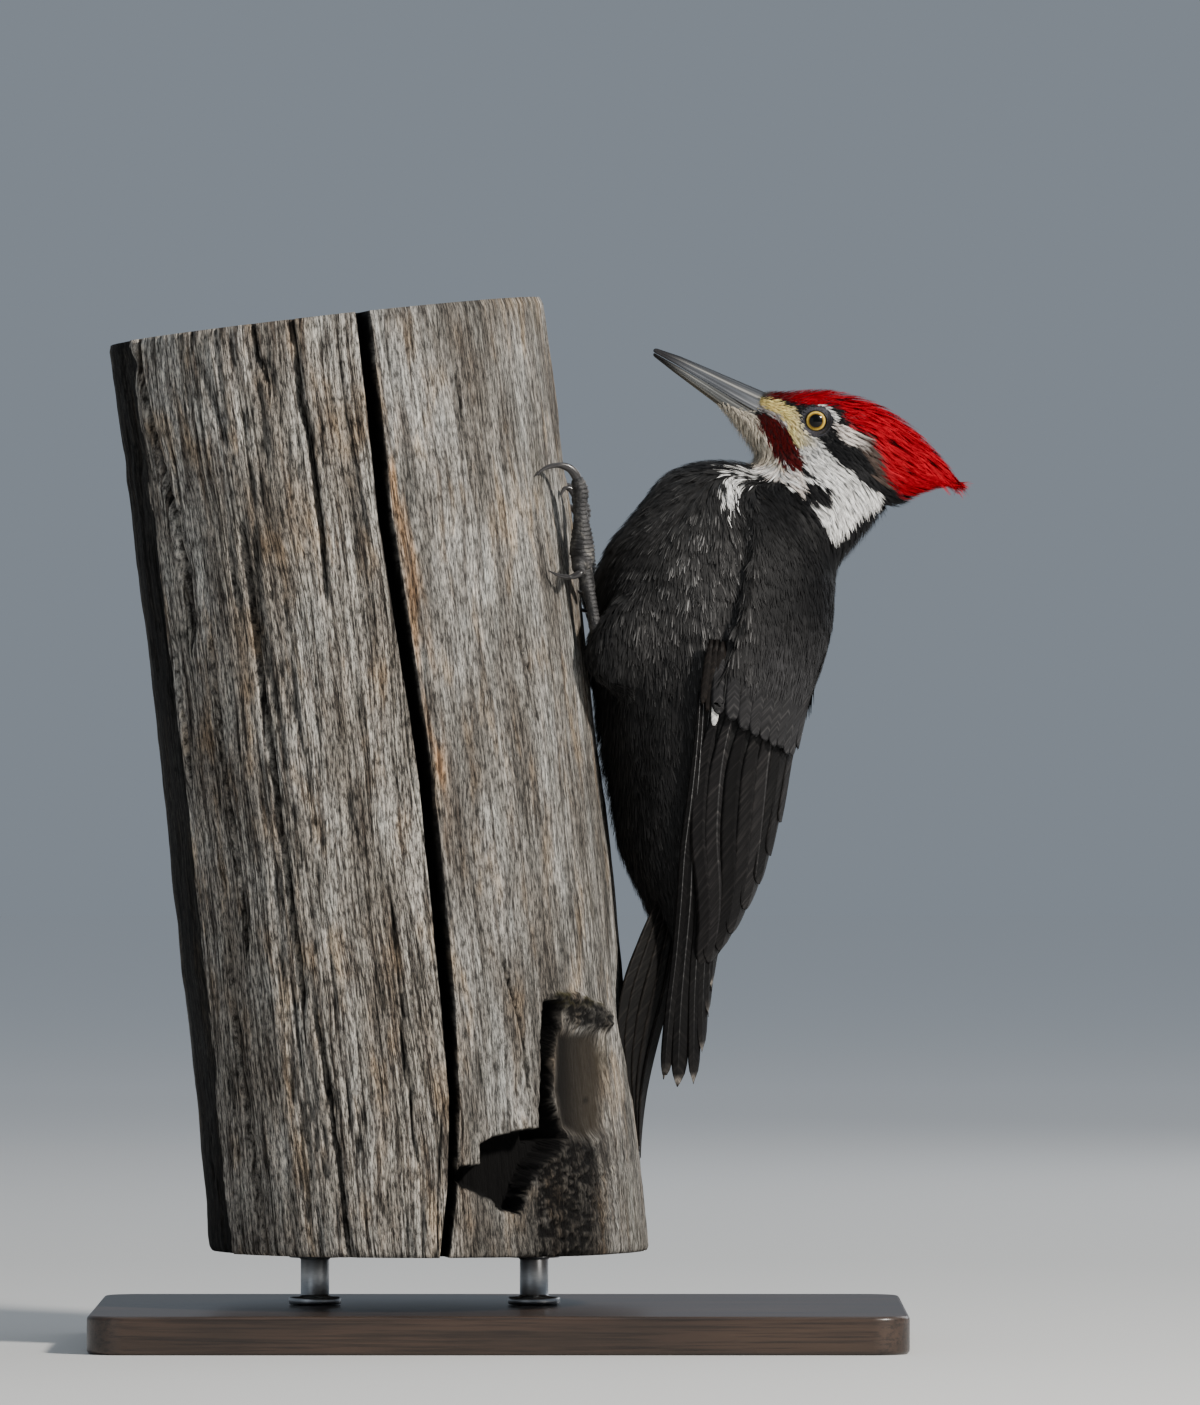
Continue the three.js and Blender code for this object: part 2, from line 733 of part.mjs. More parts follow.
function makeLeg(side, flesh, trunk) {
  const thigh = largest(thighSolid(side, 0).subtract(flesh).subtract(trunk));
  const thighRoom = thighSolid(side, gap);
  const shank = lowered(tarsusPath, side);
  const tarsus = largest(tube(shank, 8, side).subtract(thighRoom).subtract(flesh).subtract(trunk));
  const shankRoom = grownTube(shank, 8, side);
  const toes = Object.values(toePaths).map((path) => tube(lowered(path, side), toeSides, side));
  const grip = join(...toes).subtract(shankRoom).subtract(thighRoom);
  const foot = largest(grip.subtract(flesh).subtract(trunk));
  const toeRoom = join(...Object.values(toePaths).map((path) => grownTube(lowered(path, side), toeSides, side)));
  const claws = Object.entries(clawPaths).map(([name, path]) => [
    name,
    largest(tube(lowered(path, side), clawSides, side).subtract(toeRoom).subtract(thighRoom).subtract(trunk)),
  ]);
  return { thigh, tarsus, foot, claws };
}

// ---------------------------------------------------------------- assembly
const finish = {
  board: new THREE.MeshStandardMaterial({ color: 0x2b211b, roughness: 0.45 }),
  steel: new THREE.MeshStandardMaterial({ color: 0x8d9094, roughness: 0.35, metalness: 1 }),
  wood: new THREE.MeshStandardMaterial({ color: 0x8a8278, roughness: 0.95 }),
  black: new THREE.MeshStandardMaterial({ color: 0x1a1918, roughness: 0.75 }),
  pied: new THREE.MeshStandardMaterial({ color: 0xc9c4b4, roughness: 0.85 }),
  red: new THREE.MeshStandardMaterial({ color: 0xb30f16, roughness: 0.7 }),
  bill: new THREE.MeshStandardMaterial({ color: 0x6f7072, roughness: 0.5 }),
  eye: new THREE.MeshStandardMaterial({ color: 0xd9b23a, roughness: 0.1 }),
  scale: new THREE.MeshStandardMaterial({ color: 0x55534e, roughness: 0.8 }),
  claw: new THREE.MeshStandardMaterial({ color: 0x25262a, roughness: 0.4 }),
};

const woodpecker = new THREE.Group();

function place(name, made, material) {
  const { numProp, vertProperties, triVerts } = made.getMesh();
  const geometry = new THREE.BufferGeometry();
  const positions = new Float32Array((vertProperties.length / numProp) * 3);
  for (let i = 0; i < positions.length / 3; i++) {
    positions.set(vertProperties.subarray(i * numProp, i * numProp + 3), i * 3);
  }
  geometry.setAttribute("position", new THREE.BufferAttribute(positions, 3));
  geometry.setIndex(new THREE.BufferAttribute(triVerts, 1));
  geometry.computeVertexNormals();
  const mesh = new THREE.Mesh(geometry, material);
  mesh.name = name;
  woodpecker.add(mesh);
}

place("stand_base", makeStandBase(), finish.board);
place("stand_rod_front", makeRod(-1), finish.steel);
place("stand_rod_back", makeRod(1), finish.steel);
place("perch_trunk", makePerch(), finish.wood);

const trunkRoom = perchSolid(gap);
const fleshRoom = fleshSolid(gap);
const eyeRoom = join(...[-1, 1].map((side) => join(eyeBall(side, gap), eyeOpening(side))));
const body = partBody(fleshSolid(0).subtract(trunkRoom).subtract(eyeRoom));
place("torso", body.torso, finish.black);
place("neck", body.neck, finish.pied);
place("head", body.head, finish.pied);
place("crest", body.crest, finish.red);
place("bill_upper", makeBill(upperBillSlices, true, fleshRoom), finish.bill);
place("bill_lower", makeBill(lowerBillSlices, false, fleshRoom), finish.bill);

const thighRooms = [-1, 1].map((side) => thighSolid(side, gap));
for (const side of [-1, 1]) {
  const name = side < 0 ? "left" : "right";
  const wingRoom = wingLoft(wingSlices, side, gap);
  place(`wing_${name}`, without(wingLoft(wingSlices, side, 0), [fleshRoom, ...thighRooms]), finish.black);
  place(
    `primaries_${name}`,
    without(primariesSolid(side, 0), [fleshRoom, wingRoom, ...thighRooms, trunkRoom]),
    finish.black,
  );
  place(`eye_${name}`, eyeBall(side, 0), finish.eye);
}
const wingRooms = [-1, 1].flatMap((side) => [wingLoft(wingSlices, side, gap), primariesSolid(side, gap)]);
place("tail", without(tailSolid(), [fleshRoom, trunkRoom, ...wingRooms]), finish.black);

for (const side of [-1, 1]) {
  const name = side < 0 ? "left" : "right";
  const leg = makeLeg(side, fleshRoom, trunkRoom);
  place(`thigh_${name}`, leg.thigh, finish.black);
  place(`tarsus_${name}`, leg.tarsus, finish.scale);
  place(`foot_${name}`, leg.foot, finish.scale);
  for (const [toe, claw] of leg.claws) place(`claw_${name}_${toe}`, claw, finish.claw);
}

export default woodpecker;
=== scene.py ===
# Pileated woodpecker, adult male, life size, on a cut length of dead trunk and a plain display stand.
# Metres, +Z up, the bird faces -X and its left side faces -Y, towards the camera.
import math
import random
import time

import bmesh
import bpy
import numpy as np
from mathutils import Matrix, Vector, noise
from mathutils.bvhtree import BVHTree
from mathutils.kdtree import KDTree


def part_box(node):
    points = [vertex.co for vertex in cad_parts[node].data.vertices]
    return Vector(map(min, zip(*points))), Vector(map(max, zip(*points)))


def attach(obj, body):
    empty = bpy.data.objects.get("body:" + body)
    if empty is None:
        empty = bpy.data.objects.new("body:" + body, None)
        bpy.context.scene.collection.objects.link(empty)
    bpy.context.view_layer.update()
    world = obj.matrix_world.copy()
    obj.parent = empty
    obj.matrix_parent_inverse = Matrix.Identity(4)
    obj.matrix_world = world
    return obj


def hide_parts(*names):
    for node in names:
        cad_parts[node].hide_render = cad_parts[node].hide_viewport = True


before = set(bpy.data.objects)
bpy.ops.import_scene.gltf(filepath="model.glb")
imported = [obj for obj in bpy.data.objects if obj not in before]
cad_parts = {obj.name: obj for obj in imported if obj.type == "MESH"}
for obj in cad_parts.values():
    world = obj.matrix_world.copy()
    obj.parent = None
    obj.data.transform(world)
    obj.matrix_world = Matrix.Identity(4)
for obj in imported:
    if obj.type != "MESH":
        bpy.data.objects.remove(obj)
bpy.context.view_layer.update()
mm = 0.001
started = time.time()


def report(stage):
    print(f"{stage}: {time.time() - started:.0f} s")


# --- camera, light and floor ---------------------------------------------------------------

shot = {
    "wide": 0.504,  # what the frame takes in at the bird, in metres
    "tall": 0.590,
    "centre": (0.042, 0.0, 0.269),
    "away": 6.0,
    "film": 36.0,
}


def addCamera():
    data = bpy.data.cameras.new("camera")
    data.sensor_width = shot["film"]
    data.lens = shot["film"] * shot["away"] / shot["tall"]
    data.clip_end = 40
    camera = bpy.data.objects.new("camera", data)
    x, y, z = shot["centre"]
    camera.location = (x, y - shot["away"], z)
    camera.rotation_euler = (math.radians(90), 0, 0)
    bpy.context.scene.collection.objects.link(camera)
    bpy.context.scene.camera = camera


lamps = {
    # name: place, size, watts, colour
    "key": ((1.9, -1.65, 1.75), 0.30, 135, (1.0, 0.955, 0.89)),
    "fill": ((-1.6, -2.3, 0.8), 1.6, 4, (0.86, 0.92, 1.0)),
    "top": ((-0.2, 0.3, 2.4), 1.8, 10, (0.92, 0.96, 1.0)),
    "back": ((1.4, 1.9, 1.1), 1.4, 12, (0.95, 0.97, 1.0)),
}


def addLamps():
    for name, (place, size, watts, colour) in lamps.items():
        data = bpy.data.lights.new(name, "AREA")
        data.size = size
        data.energy = watts
        data.color = colour
        lamp = bpy.data.objects.new(name, data)
        lamp.location = place
        aim = Vector((0.0, 0.0, 0.25)) - lamp.location
        lamp.rotation_euler = aim.to_track_quat("-Z", "Y").to_euler()
        bpy.context.scene.collection.objects.link(lamp)
    world = bpy.data.worlds.new("studio")
    world.use_nodes = True
    world.node_tree.nodes["Background"].inputs["Color"].default_value = (0.60, 0.69, 0.80, 1)
    world.node_tree.nodes["Background"].inputs["Strength"].default_value = 0.36
    bpy.context.scene.world = world


def addFloor():
    bm = bmesh.new()
    bmesh.ops.create_grid(bm, x_segments=1, y_segments=1, size=12)
    mesh = bpy.data.meshes.new("floor")
    bm.to_mesh(mesh)
    bm.free()
    floor = bpy.data.objects.new("floor", mesh)
    bpy.context.scene.collection.objects.link(floor)
    skin, tree = newMaterial("floorPaint", rough=0.9, Specular_IOR_Level=0.0)
    away = addNode(tree, "ShaderNodeVectorMath", operation="LENGTH")
    tree.links.new(objectCoords(tree), away.inputs[0])
    far = addNode(tree, "ShaderNodeMapRange")
    far.inputs["From Min"].default_value = 0.9
    far.inputs["From Max"].default_value = 4.0
    join(tree, away, "Value", far, "Value")
    # painted light: the floor is painted paler farther from the stand, where the lamps fall off, so its far part does
    # not go dark
    paint = mixOf(tree, far.outputs["Result"], (0.62, 0.62, 0.61), (0.97, 0.97, 0.97))
    tree.links.new(paint, shaderOf(tree).inputs["Base Color"])
    mesh.materials.append(skin)


# --- materials -----------------------------------------------------------------------------


def newMaterial(name, rough=0.6, **sockets):
    made = bpy.data.materials.new(name)
    made.use_nodes = True
    tree = made.node_tree
    shader = shaderOf(tree)
    shader.inputs["Roughness"].default_value = rough
    for socket, value in sockets.items():
        shader.inputs[socket.replace("_", " ")].default_value = value
    return made, tree


def shaderOf(tree):
    return next(n for n in tree.nodes if n.type == "BSDF_PRINCIPLED")


def addNode(tree, kind, **settings):
    made = tree.nodes.new(kind)
    for key, value in settings.items():
        if key in made.inputs:
            made.inputs[key].default_value = value
        else:
            setattr(made, key, value)
    return made


def join(tree, source, output, target, socket):
    tree.links.new(source.outputs[output], target.inputs[socket])


def stretchedNoise(tree, coords, scale, detail=4.0, rough=0.6):
    # noise drawn out along the axes that `scale` makes small
    slide = addNode(tree, "ShaderNodeMapping")
    slide.inputs["Scale"].default_value = scale
    tree.links.new(coords, slide.inputs["Vector"])
    fleck = addNode(tree, "ShaderNodeTexNoise", Scale=1.0, Detail=detail, Roughness=rough)
    join(tree, slide, "Vector", fleck, "Vector")
    return fleck.outputs["Fac"]


def rampOf(tree, factor, stops):
    ramp = addNode(tree, "ShaderNodeValToRGB")
    line = ramp.color_ramp
    while len(line.elements) < len(stops):
        line.elements.new(0.5)
    for element, (place, colour) in zip(line.elements, stops):
        element.position = place
        element.color = (*colour, 1)
    tree.links.new(factor, ramp.inputs["Fac"])
    return ramp.outputs["Color"]


def mixOf(tree, factor, first, second, blend="MIX"):
    mix = addNode(tree, "ShaderNodeMix", data_type="RGBA", blend_type=blend)
    for socket, value in ((0, factor), (6, first), (7, second)):
        if isinstance(value, bpy.types.NodeSocket):
            tree.links.new(value, mix.inputs[socket])
        elif socket == 0:
            mix.inputs[socket].default_value = value
        else:
            mix.inputs[socket].default_value = (*value, 1)
    return mix.outputs[2]


def addBump(tree, height, strength, distance):
    bump = addNode(tree, "ShaderNodeBump", Strength=strength, Distance=distance)
    tree.links.new(height, bump.inputs["Height"])
    join(tree, bump, "Normal", shaderOf(tree), "Normal")
    return bump


def objectCoords(tree):
    return addNode(tree, "ShaderNodeTexCoord").outputs["Object"]


def uvCoords(tree, name):
    return addNode(tree, "ShaderNodeUVMap", uv_map=name).outputs["UV"]


def paintOf(tree, name):
    return addNode(tree, "ShaderNodeAttribute", attribute_name=name).outputs["Color"]


# --- mesh helpers --------------------------------------------------------------------------


def finishPiece(name, source, material, replaced=(), smooth=True):
    if isinstance(source, bmesh.types.BMesh):
        mesh = bpy.data.meshes.new(name)
        source.to_mesh(mesh)
        source.free()
    else:
        mesh = source
        mesh.name = name
    if smooth:
        mesh.shade_smooth()
    mesh.materials.append(material)
    piece = bpy.data.objects.new(name, mesh)
    bpy.context.scene.collection.objects.link(piece)
    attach(piece, "root")
    if replaced:
        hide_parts(*replaced)
    return piece


def vertexArray(mesh):
    flat = np.empty(len(mesh.vertices) * 3, np.float32)
    mesh.vertices.foreach_get("co", flat)
    return flat.reshape(-1, 3).astype(float)


def normalArray(mesh):
    flat = np.empty(len(mesh.vertices) * 3, np.float32)
    mesh.vertices.foreach_get("normal", flat)
    return flat.reshape(-1, 3).astype(float)


def setVertices(mesh, points):
    mesh.vertices.foreach_set("co", np.ascontiguousarray(points, np.float32).ravel())
    mesh.update()


def paintMesh(mesh, name, colours):
    layer = mesh.color_attributes.new(name, "FLOAT_COLOR", "POINT")
    full = np.ones((len(colours), 4), np.float32)
    full[:, :3] = colours
    layer.data.foreach_set("color", full.ravel())


def joinedMesh(name, points, faces):
    # one mesh from an array of points and an array of faces with four corners
    mesh = bpy.data.meshes.new(name)
    mesh.vertices.add(len(points))
    mesh.loops.add(faces.size)
    mesh.polygons.add(len(faces))
    mesh.vertices.foreach_set("co", np.ascontiguousarray(points, np.float32).ravel())
    mesh.loops.foreach_set("vertex_index", faces.astype(np.int32).ravel())
    mesh.polygons.foreach_set("loop_start", np.arange(0, faces.size, 4, dtype=np.int32))
    mesh.update(calc_edges=True)
    return mesh


def setUv(mesh, name, perVertex):
    layer = mesh.uv_layers.new(name=name)
    corners = np.empty(len(mesh.loops), np.int32)
    mesh.loops.foreach_get("vertex_index", corners)
    layer.data.foreach_set("uv", np.ascontiguousarray(perVertex[corners], np.float32).ravel())


def unit(v):
    return v / np.maximum(np.linalg.norm(v, axis=-1, keepdims=True), 1e-12)


def smoothStep(x, low, high):
    t = np.clip((x - low) / (high - low), 0, 1)
    return t * t * (3 - 2 * t)


# Places read off the side view: one unit is 0.42 mm, x grows to the tail side, y grows down.
sheet = {"unit": 0.42 * mm, "x": 500, "y": 1343}


def toSide(points):
    x = points[..., 0] / sheet["unit"] + sheet["x"]
    y = sheet["y"] - points[..., 2] / sheet["unit"]
    return x, y


def fromSide(x, y):
    return (np.asarray(x, float) - sheet["x"]) * sheet["unit"], (sheet["y"] - np.asarray(y, float)) * sheet["unit"]


def inside(x, y, outline):
    # whether each (x, y) lies in the closed outline
    hit = np.zeros(np.shape(x), bool)
    count = len(outline)
    for i in range(count):
        (xa, ya), (xb, yb) = outline[i], outline[(i + 1) % count]
        if ya == yb:
            continue
        crosses = (ya > y) != (yb > y)
        hit ^= crosses & (x < (xb - xa) * (y - ya) / (yb - ya) + xa)
    return hit


# --- stand ---------------------------------------------------------------------------------

stand = {
    "corner": 16 * mm,
    "edge": 1.8 * mm,
    "rodEdge": 0.5 * mm,
    "sides": 48,
}


def boardMaterial():
    made, tree = newMaterial("stainedBoard", rough=0.38, Coat_Weight=0.25, Coat_Roughness=0.22)
    coords = objectCoords(tree)
    broad = stretchedNoise(tree, coords, (7, 60, 60), 3)
    fine = stretchedNoise(tree, coords, (22, 900, 900), 4)
    dark = rampOf(tree, broad, [(0.3, (0.020, 0.012, 0.008)), (0.7, (0.060, 0.035, 0.022))])
    pores = rampOf(tree, fine, [(0.36, (0.45, 0.45, 0.45)), (0.55, (1, 1, 1))])
    tree.links.new(mixOf(tree, 1.0, dark, pores, "MULTIPLY"), shaderOf(tree).inputs["Base Color"])
    addBump(tree, fine, 0.25, 0.0004)
    return made


def steelMaterial():
    made, tree = newMaterial("brushedRod", rough=0.33, Metallic=1.0)
    coords = objectCoords(tree)
    brush = stretchedNoise(tree, coords, (300, 300, 9000), 3)
    tone = rampOf(tree, brush, [(0.2, (0.34, 0.35, 0.36)), (0.8, (0.55, 0.56, 0.57))])
    tree.links.new(tone, shaderOf(tree).inputs["Base Color"])
    addBump(tree, brush, 0.12, 0.0002)
    return made


def makeBoard():
    low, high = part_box("stand_base")
    size = high - low
    bm = bmesh.new()
    bmesh.ops.create_cube(bm, size=1)
    bmesh.ops.scale(bm, vec=size, verts=bm.verts)
    bmesh.ops.translate(bm, vec=(low + high) / 2, verts=bm.verts)
    upright = [e for e in bm.edges if abs(e.verts[0].co.z - e.verts[1].co.z) > size.z / 2]
    bmesh.ops.bevel(
        bm, geom=upright, offset=stand["corner"], segments=10, profile=0.5, affect="EDGES", material=-1
    )
    rims = [f for f in bm.faces if abs(f.normal.z) > 0.9]
    edges = [e for f in rims for e in f.edges]
    bmesh.ops.bevel(
        bm, geom=edges, offset=stand["edge"], segments=4, profile=0.5, affect="EDGES", material=-1
    )
    piece = finishPiece("standBoard", bm, boardMaterial(), ["stand_base"])
    piece.modifiers.new("edges", "WEIGHTED_NORMAL")
    return piece


def makeRod(node, material):
    # foot flange, rod and cap, spun as one profile
    low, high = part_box(node)
    centre = (low + high) / 2
    flange = (high.x - low.x) / 2
    rod = flange * 6 / 11
    edge = stand["rodEdge"]
    profile = [
        (0, low.z),
        (flange - edge, low.z),
        (flange, low.z + edge),
        (flange, low.z + 2.6 * mm),
        (flange - edge, low.z + 3.2 * mm),
        (rod + edge, low.z + 3.4 * mm),
        (rod, low.z + 4.2 * mm),
        (rod, high.z - 3.6 * mm),
        (rod + edge, high.z - 2.8 * mm),
        (flange - edge, high.z - 2.6 * mm),
        (flange, high.z - 2.2 * mm),
        (flange, high.z - edge),
        (flange - edge, high.z),
        (0, high.z),
    ]
    bm = bmesh.new()
    verts = [bm.verts.new((centre.x + r, centre.y, z)) for r, z in profile]
    edges = [bm.edges.new(pair) for pair in zip(verts, verts[1:])]
    bmesh.ops.spin(
        bm,
        geom=verts + edges,
        cent=centre,
        axis=(0, 0, 1),
        angle=2 * math.pi,
        steps=stand["sides"],
        use_merge=True,
    )
    bmesh.ops.remove_doubles(bm, verts=bm.verts, dist=0.01 * mm)
    bmesh.ops.recalc_face_normals(bm, faces=bm.faces)
    name = node.replace("stand_", "stand").replace("_", "")
    return finishPiece(name, bm, material, [node])


# --- trunk ---------------------------------------------------------------------------------

trunk = {
    "radius": 94.2 * mm,
    "taper": 1.2 * mm,
    "bottom": 39.3 * mm,
    "top": 428.7 * mm,
    "topSlope": 0.113,  # the upper saw cut is square to the leaning axis
    "columns": 376,
    "rows": 230,
    "capRows": 14,
    "ledge": 212,  # degrees: left of it an outer layer is gone
    "ledgeDrop": 5.0 * mm,
    "seam": 95,
    "crackWide": 6.0 * mm,
    "crackDeep": 17 * mm,
}

# long open checks: side-view points, half width in mm, depth in mm
trunkChecks = [
    ([(288, 290), (300, 350), (304, 400), (314, 445), (324, 520), (330, 590)], 1.3, 6),
    ([(252, 300), (262, 355), (273, 385)], 0.9, 4),
    ([(246, 530), (255, 600), (263, 665), (273, 735), (283, 810), (296, 900), (306, 990)], 1.4, 7),
    ([(236, 560), (243, 600)], 1.0, 4),
    ([(138, 325), (147, 380), (158, 430), (176, 497), (187, 560), (194, 620)], 2.4, 7),
    ([(176, 640), (184, 700), (192, 765)], 1.4, 6),
    ([(458, 380), (466, 440), (476, 505)], 0.6, 2.5),
    ([(520, 650), (534, 690), (540, 730)], 0.6, 2.5),
    ([(318, 1000), (333, 1090), (345, 1180), (352, 1250)], 1.0, 5),
    ([(395, 900), (402, 980), (408, 1060), (420, 1150)], 0.8, 4),
    ([(215, 640), (224, 730), (238, 830), (250, 930)], 1.0, 5),
    ([(505, 960), (522, 1020), (530, 1085)], 0.8, 3),
    ([(232, 960), (244, 1060), (262, 1180), (270, 1250)], 1.0, 4),
]
mainCrack = [(365, 310), (379, 430), (388, 520), (401, 600), (415, 690), (429, 780), (437, 860)]
mainCrack += [(446, 950), (451, 1010), (457, 1100), (455, 1180), (447, 1250)]


def trunkAxis(z):
    # the trunk's middle leans and bends a little
    t = ((sheet["y"] - z / sheet["unit"]) - 350) / 900
    return (324.5 + 118 * t - 18 * t * t - sheet["x"]) * sheet["unit"]


def trunkAngle(x, y):
    # the angle round the trunk, in degrees, of a side-view point on its near face
    px, pz = fromSide(x, y)
    across = np.clip((px - trunkAxis(pz)) / trunk["radius"], -1, 1)
    return 360 - np.degrees(np.arccos(across))


def checkPath(points):
    x, y = np.array(points, float).T
    order = np.argsort(-y)
    z = (sheet["y"] - y[order]) * sheet["unit"]
    return z, trunkAngle(x[order], y[order])


def noiseField(a, b, seed, octaves=3, rough=0.5):
    # smooth lattice noise of two coordinates, about -1 to 1
    total = np.zeros(np.broadcast(a, b).shape)
    size, sum_ = 1.0, 0.0
    for octave in range(octaves):
        xa, xb = a * 2**octave, b * 2**octave
        ia, ib = np.floor(xa), np.floor(xb)
        fa, fb = xa - ia, xb - ib
        fa, fb = fa * fa * (3 - 2 * fa), fb * fb * (3 - 2 * fb)

        def corner(da, db):
            s = np.sin((ia + da) * 127.1 + (ib + db) * 311.7 + (seed + octave) * 74.7) * 43758.5453
            return (s - np.floor(s)) * 2 - 1

        low = corner(0, 0) * (1 - fa) + corner(1, 0) * fa
        high = corner(0, 1) * (1 - fa) + corner(1, 1) * fa
        total += size * (low * (1 - fb) + high * fb)
        sum_ += size
        size *= rough
    return total / sum_


def trunkColumns():
    # angles of the columns from the seam on: more of them at the ledge, the open crack and the scar
    fine = np.linspace(0, 360, 7201)
    angle = (fine + trunk["seam"]) % 360
    crack = np.exp(-(((angle - 281.5) / 4.2) ** 2))
    ledge = np.exp(-(((angle - trunk["ledge"]) / 2.5) ** 2))
    hollow = np.exp(-(((angle - 309) / 15) ** 2))
    near = smoothStep(angle, 190, 208) * (1 - smoothStep(angle, 345, 358))
    density = 0.42 + 0.6 * near + 4.2 * crack + 1.6 * ledge + 0.9 * hollow
    total = np.concatenate([[0], np.cumsum((density[1:] + density[:-1]) / 2)])
    total /= total[-1]
    return np.interp(np.linspace(0, 1, trunk["columns"] + 1), total, fine)


def trunkRows():
    # more rows beside the scar; the shares of the height of each
    fine = np.linspace(0, 1, 2001)
    density = 0.75 + 1.5 * (1 - smoothStep(fine, 0.28, 0.36))
    total = np.concatenate([[0], np.cumsum((density[1:] + density[:-1]) / 2)])
    total /= total[-1]
    return np.interp(np.linspace(0, 1, trunk["rows"] + 1), total, fine)


def trunkRelief(angle, z):
    # how far the wood stands in or out, how dark it is painted (painted shade in its splits, checks, open crack and the
    # band left of the ledge) and where it is stained rusty
    r = trunk["radius"]
    arc = np.radians(angle) * r
    flat = smoothStep(angle, 283, 290) * (1 - smoothStep(angle, 350, 362))  # the smoother face
    rough = 1 - 0.72 * flat
    drift = 2.2 * mm * noiseField(arc / 0.05, z / 0.12, 3)
    lean = arc + drift * 2
    fibre = noiseField(lean / 0.0042, z / 0.11, 11, 3, 0.55)
    ridge = 1 - np.abs(noiseField(lean / 0.0075, z / 0.16, 17, 2))
    lift = 0.6 * mm * fibre * rough + 1.2 * mm * noiseField(arc / 0.04, z / 0.1, 5)
    split = smoothStep(ridge, 0.93, 0.99) * rough
    lift -= 1.3 * mm * split
    lift += 0.35 * mm * noiseField(arc / 0.0030, z / 0.012, 23, 2) * rough
    # painted shade in the small splits
    dark = 0.55 * split
    warm = np.zeros_like(lift)
    # the outer layer that is gone, left of the ledge
    edge = trunk["ledge"] + 1.3 * noiseField(z / 0.012, z * 0, 7) + 0.8 * noiseField(z / 0.05, z * 0, 8)
    beyondLedge = smoothStep(angle, 150, 175) * (1 - smoothStep(angle - edge, -0.9, 0.3))
    lift -= trunk["ledgeDrop"] * beyondLedge * (0.85 + 0.15 * noiseField(z / 0.02, z * 0, 9))
    # painted shade: the band left of the ledge is painted almost black on the near side, fading out round the back
    dark = np.maximum(dark, 0.93 * beyondLedge * smoothStep(angle, 172, 192))
    # open checks
    for i, (points, half, deep) in enumerate(trunkChecks):
        zs, angles = checkPath(points)
        centre = np.interp(z, zs, angles)
        wander = 0.5 * mm * noiseField(z / 0.013, z * 0 + i, 31 + i)
        off = np.abs(np.radians(angle - centre) * r + wander)
        ends = smoothStep(z, zs[0] - 9 * mm, zs[0] + 6 * mm) * (1 - smoothStep(z, zs[-1] - 6 * mm, zs[-1] + 9 * mm))
        cut = (1 - smoothStep(off, 0.25 * half * mm, 1.25 * half * mm)) * ends
        lift -= deep * mm * cut
        # painted shade: the open checks are painted dark
        dark = np.maximum(dark, 0.9 * cut)
    zs, angles = checkPath(mainCrack)
    centre = np.interp(z, zs, angles)
    half = trunk["crackWide"] / 2 * (1 - 0.35 * smoothStep(-z, -0.17, -0.07)) * (1 + 0.08 * noiseField(z / 0.05, z * 0, 41))
    side = np.radians(angle - centre) * r + 0.18 * mm * noiseField(z / 0.012, z * 0, 43)
    cut = 1 - smoothStep(np.abs(side), half * 0.86, half * 1.04)
    lift -= trunk["crackDeep"] * cut
    # painted shade: the open crack is painted black across its whole width
    dark = np.maximum(dark, 1 - smoothStep(np.abs(side), half * 0.96, half * 1.2))
    patchy = smoothStep(noiseField(z / 0.03, side / 0.004, 47, 3), -0.25, 0.35)
    rust = np.exp(-(((side - 6 * mm) / (4 * mm)) ** 2)) * smoothStep(z, 0.19, 0.25) * (1 - smoothStep(z, 0.37, 0.41))
    rust = rust * patchy * smoothStep(side, half, half + 1 * mm)
    warm = np.maximum(warm, rust)
    # a split-off flake left of the crack stands a little proud
    lift += 0.9 * mm * smoothStep(side, -26 * mm, -3 * mm) * (1 - smoothStep(side, -2.6 * mm, -1.5 * mm))
    return lift, dark, warm


scar = {
    # the old limb's scar, as side-view outlines: a deep slot, a deep hollow, a smooth worn face, a mossy lip
    "slot": [(546, 1001), (560, 1003), (562, 1030), (556, 1060), (556, 1100), (563, 1118), (566, 1136), (541, 1140), (541, 1100), (543, 1040)],
    "hollow": [(482, 1139), (497, 1131), (520, 1127), (541, 1124), (566, 1128), (556, 1150), (541, 1160), (529, 1184), (520, 1208), (503, 1204), (492, 1192), (466, 1181), (452, 1172), (462, 1160), (484, 1158)],
    "face": [(558, 1030), (600, 1034), (612, 1060), (608, 1130), (585, 1142), (563, 1126), (556, 1090)],
    "lip": [(549, 996), (560, 994), (577, 996), (600, 1006), (613, 1018), (611, 1036), (590, 1030), (570, 1028), (562, 1010)],
}


def outlineDistance(x, y, outline):
    # signed distance to an outline in side-view units, positive inside
    best = np.full(np.shape(x), 1e9)
    count = len(outline)
    for i in range(count):
        (xa, ya), (xb, yb) = outline[i], outline[(i + 1) % count]
        along = np.clip(((x - xa) * (xb - xa) + (y - ya) * (yb - ya)) / ((xb - xa) ** 2 + (yb - ya) ** 2), 0, 1)
        best = np.minimum(best, np.hypot(x - xa - along * (xb - xa), y - ya - along * (yb - ya)))
    return np.where(inside(x, y, outline), best, -best)


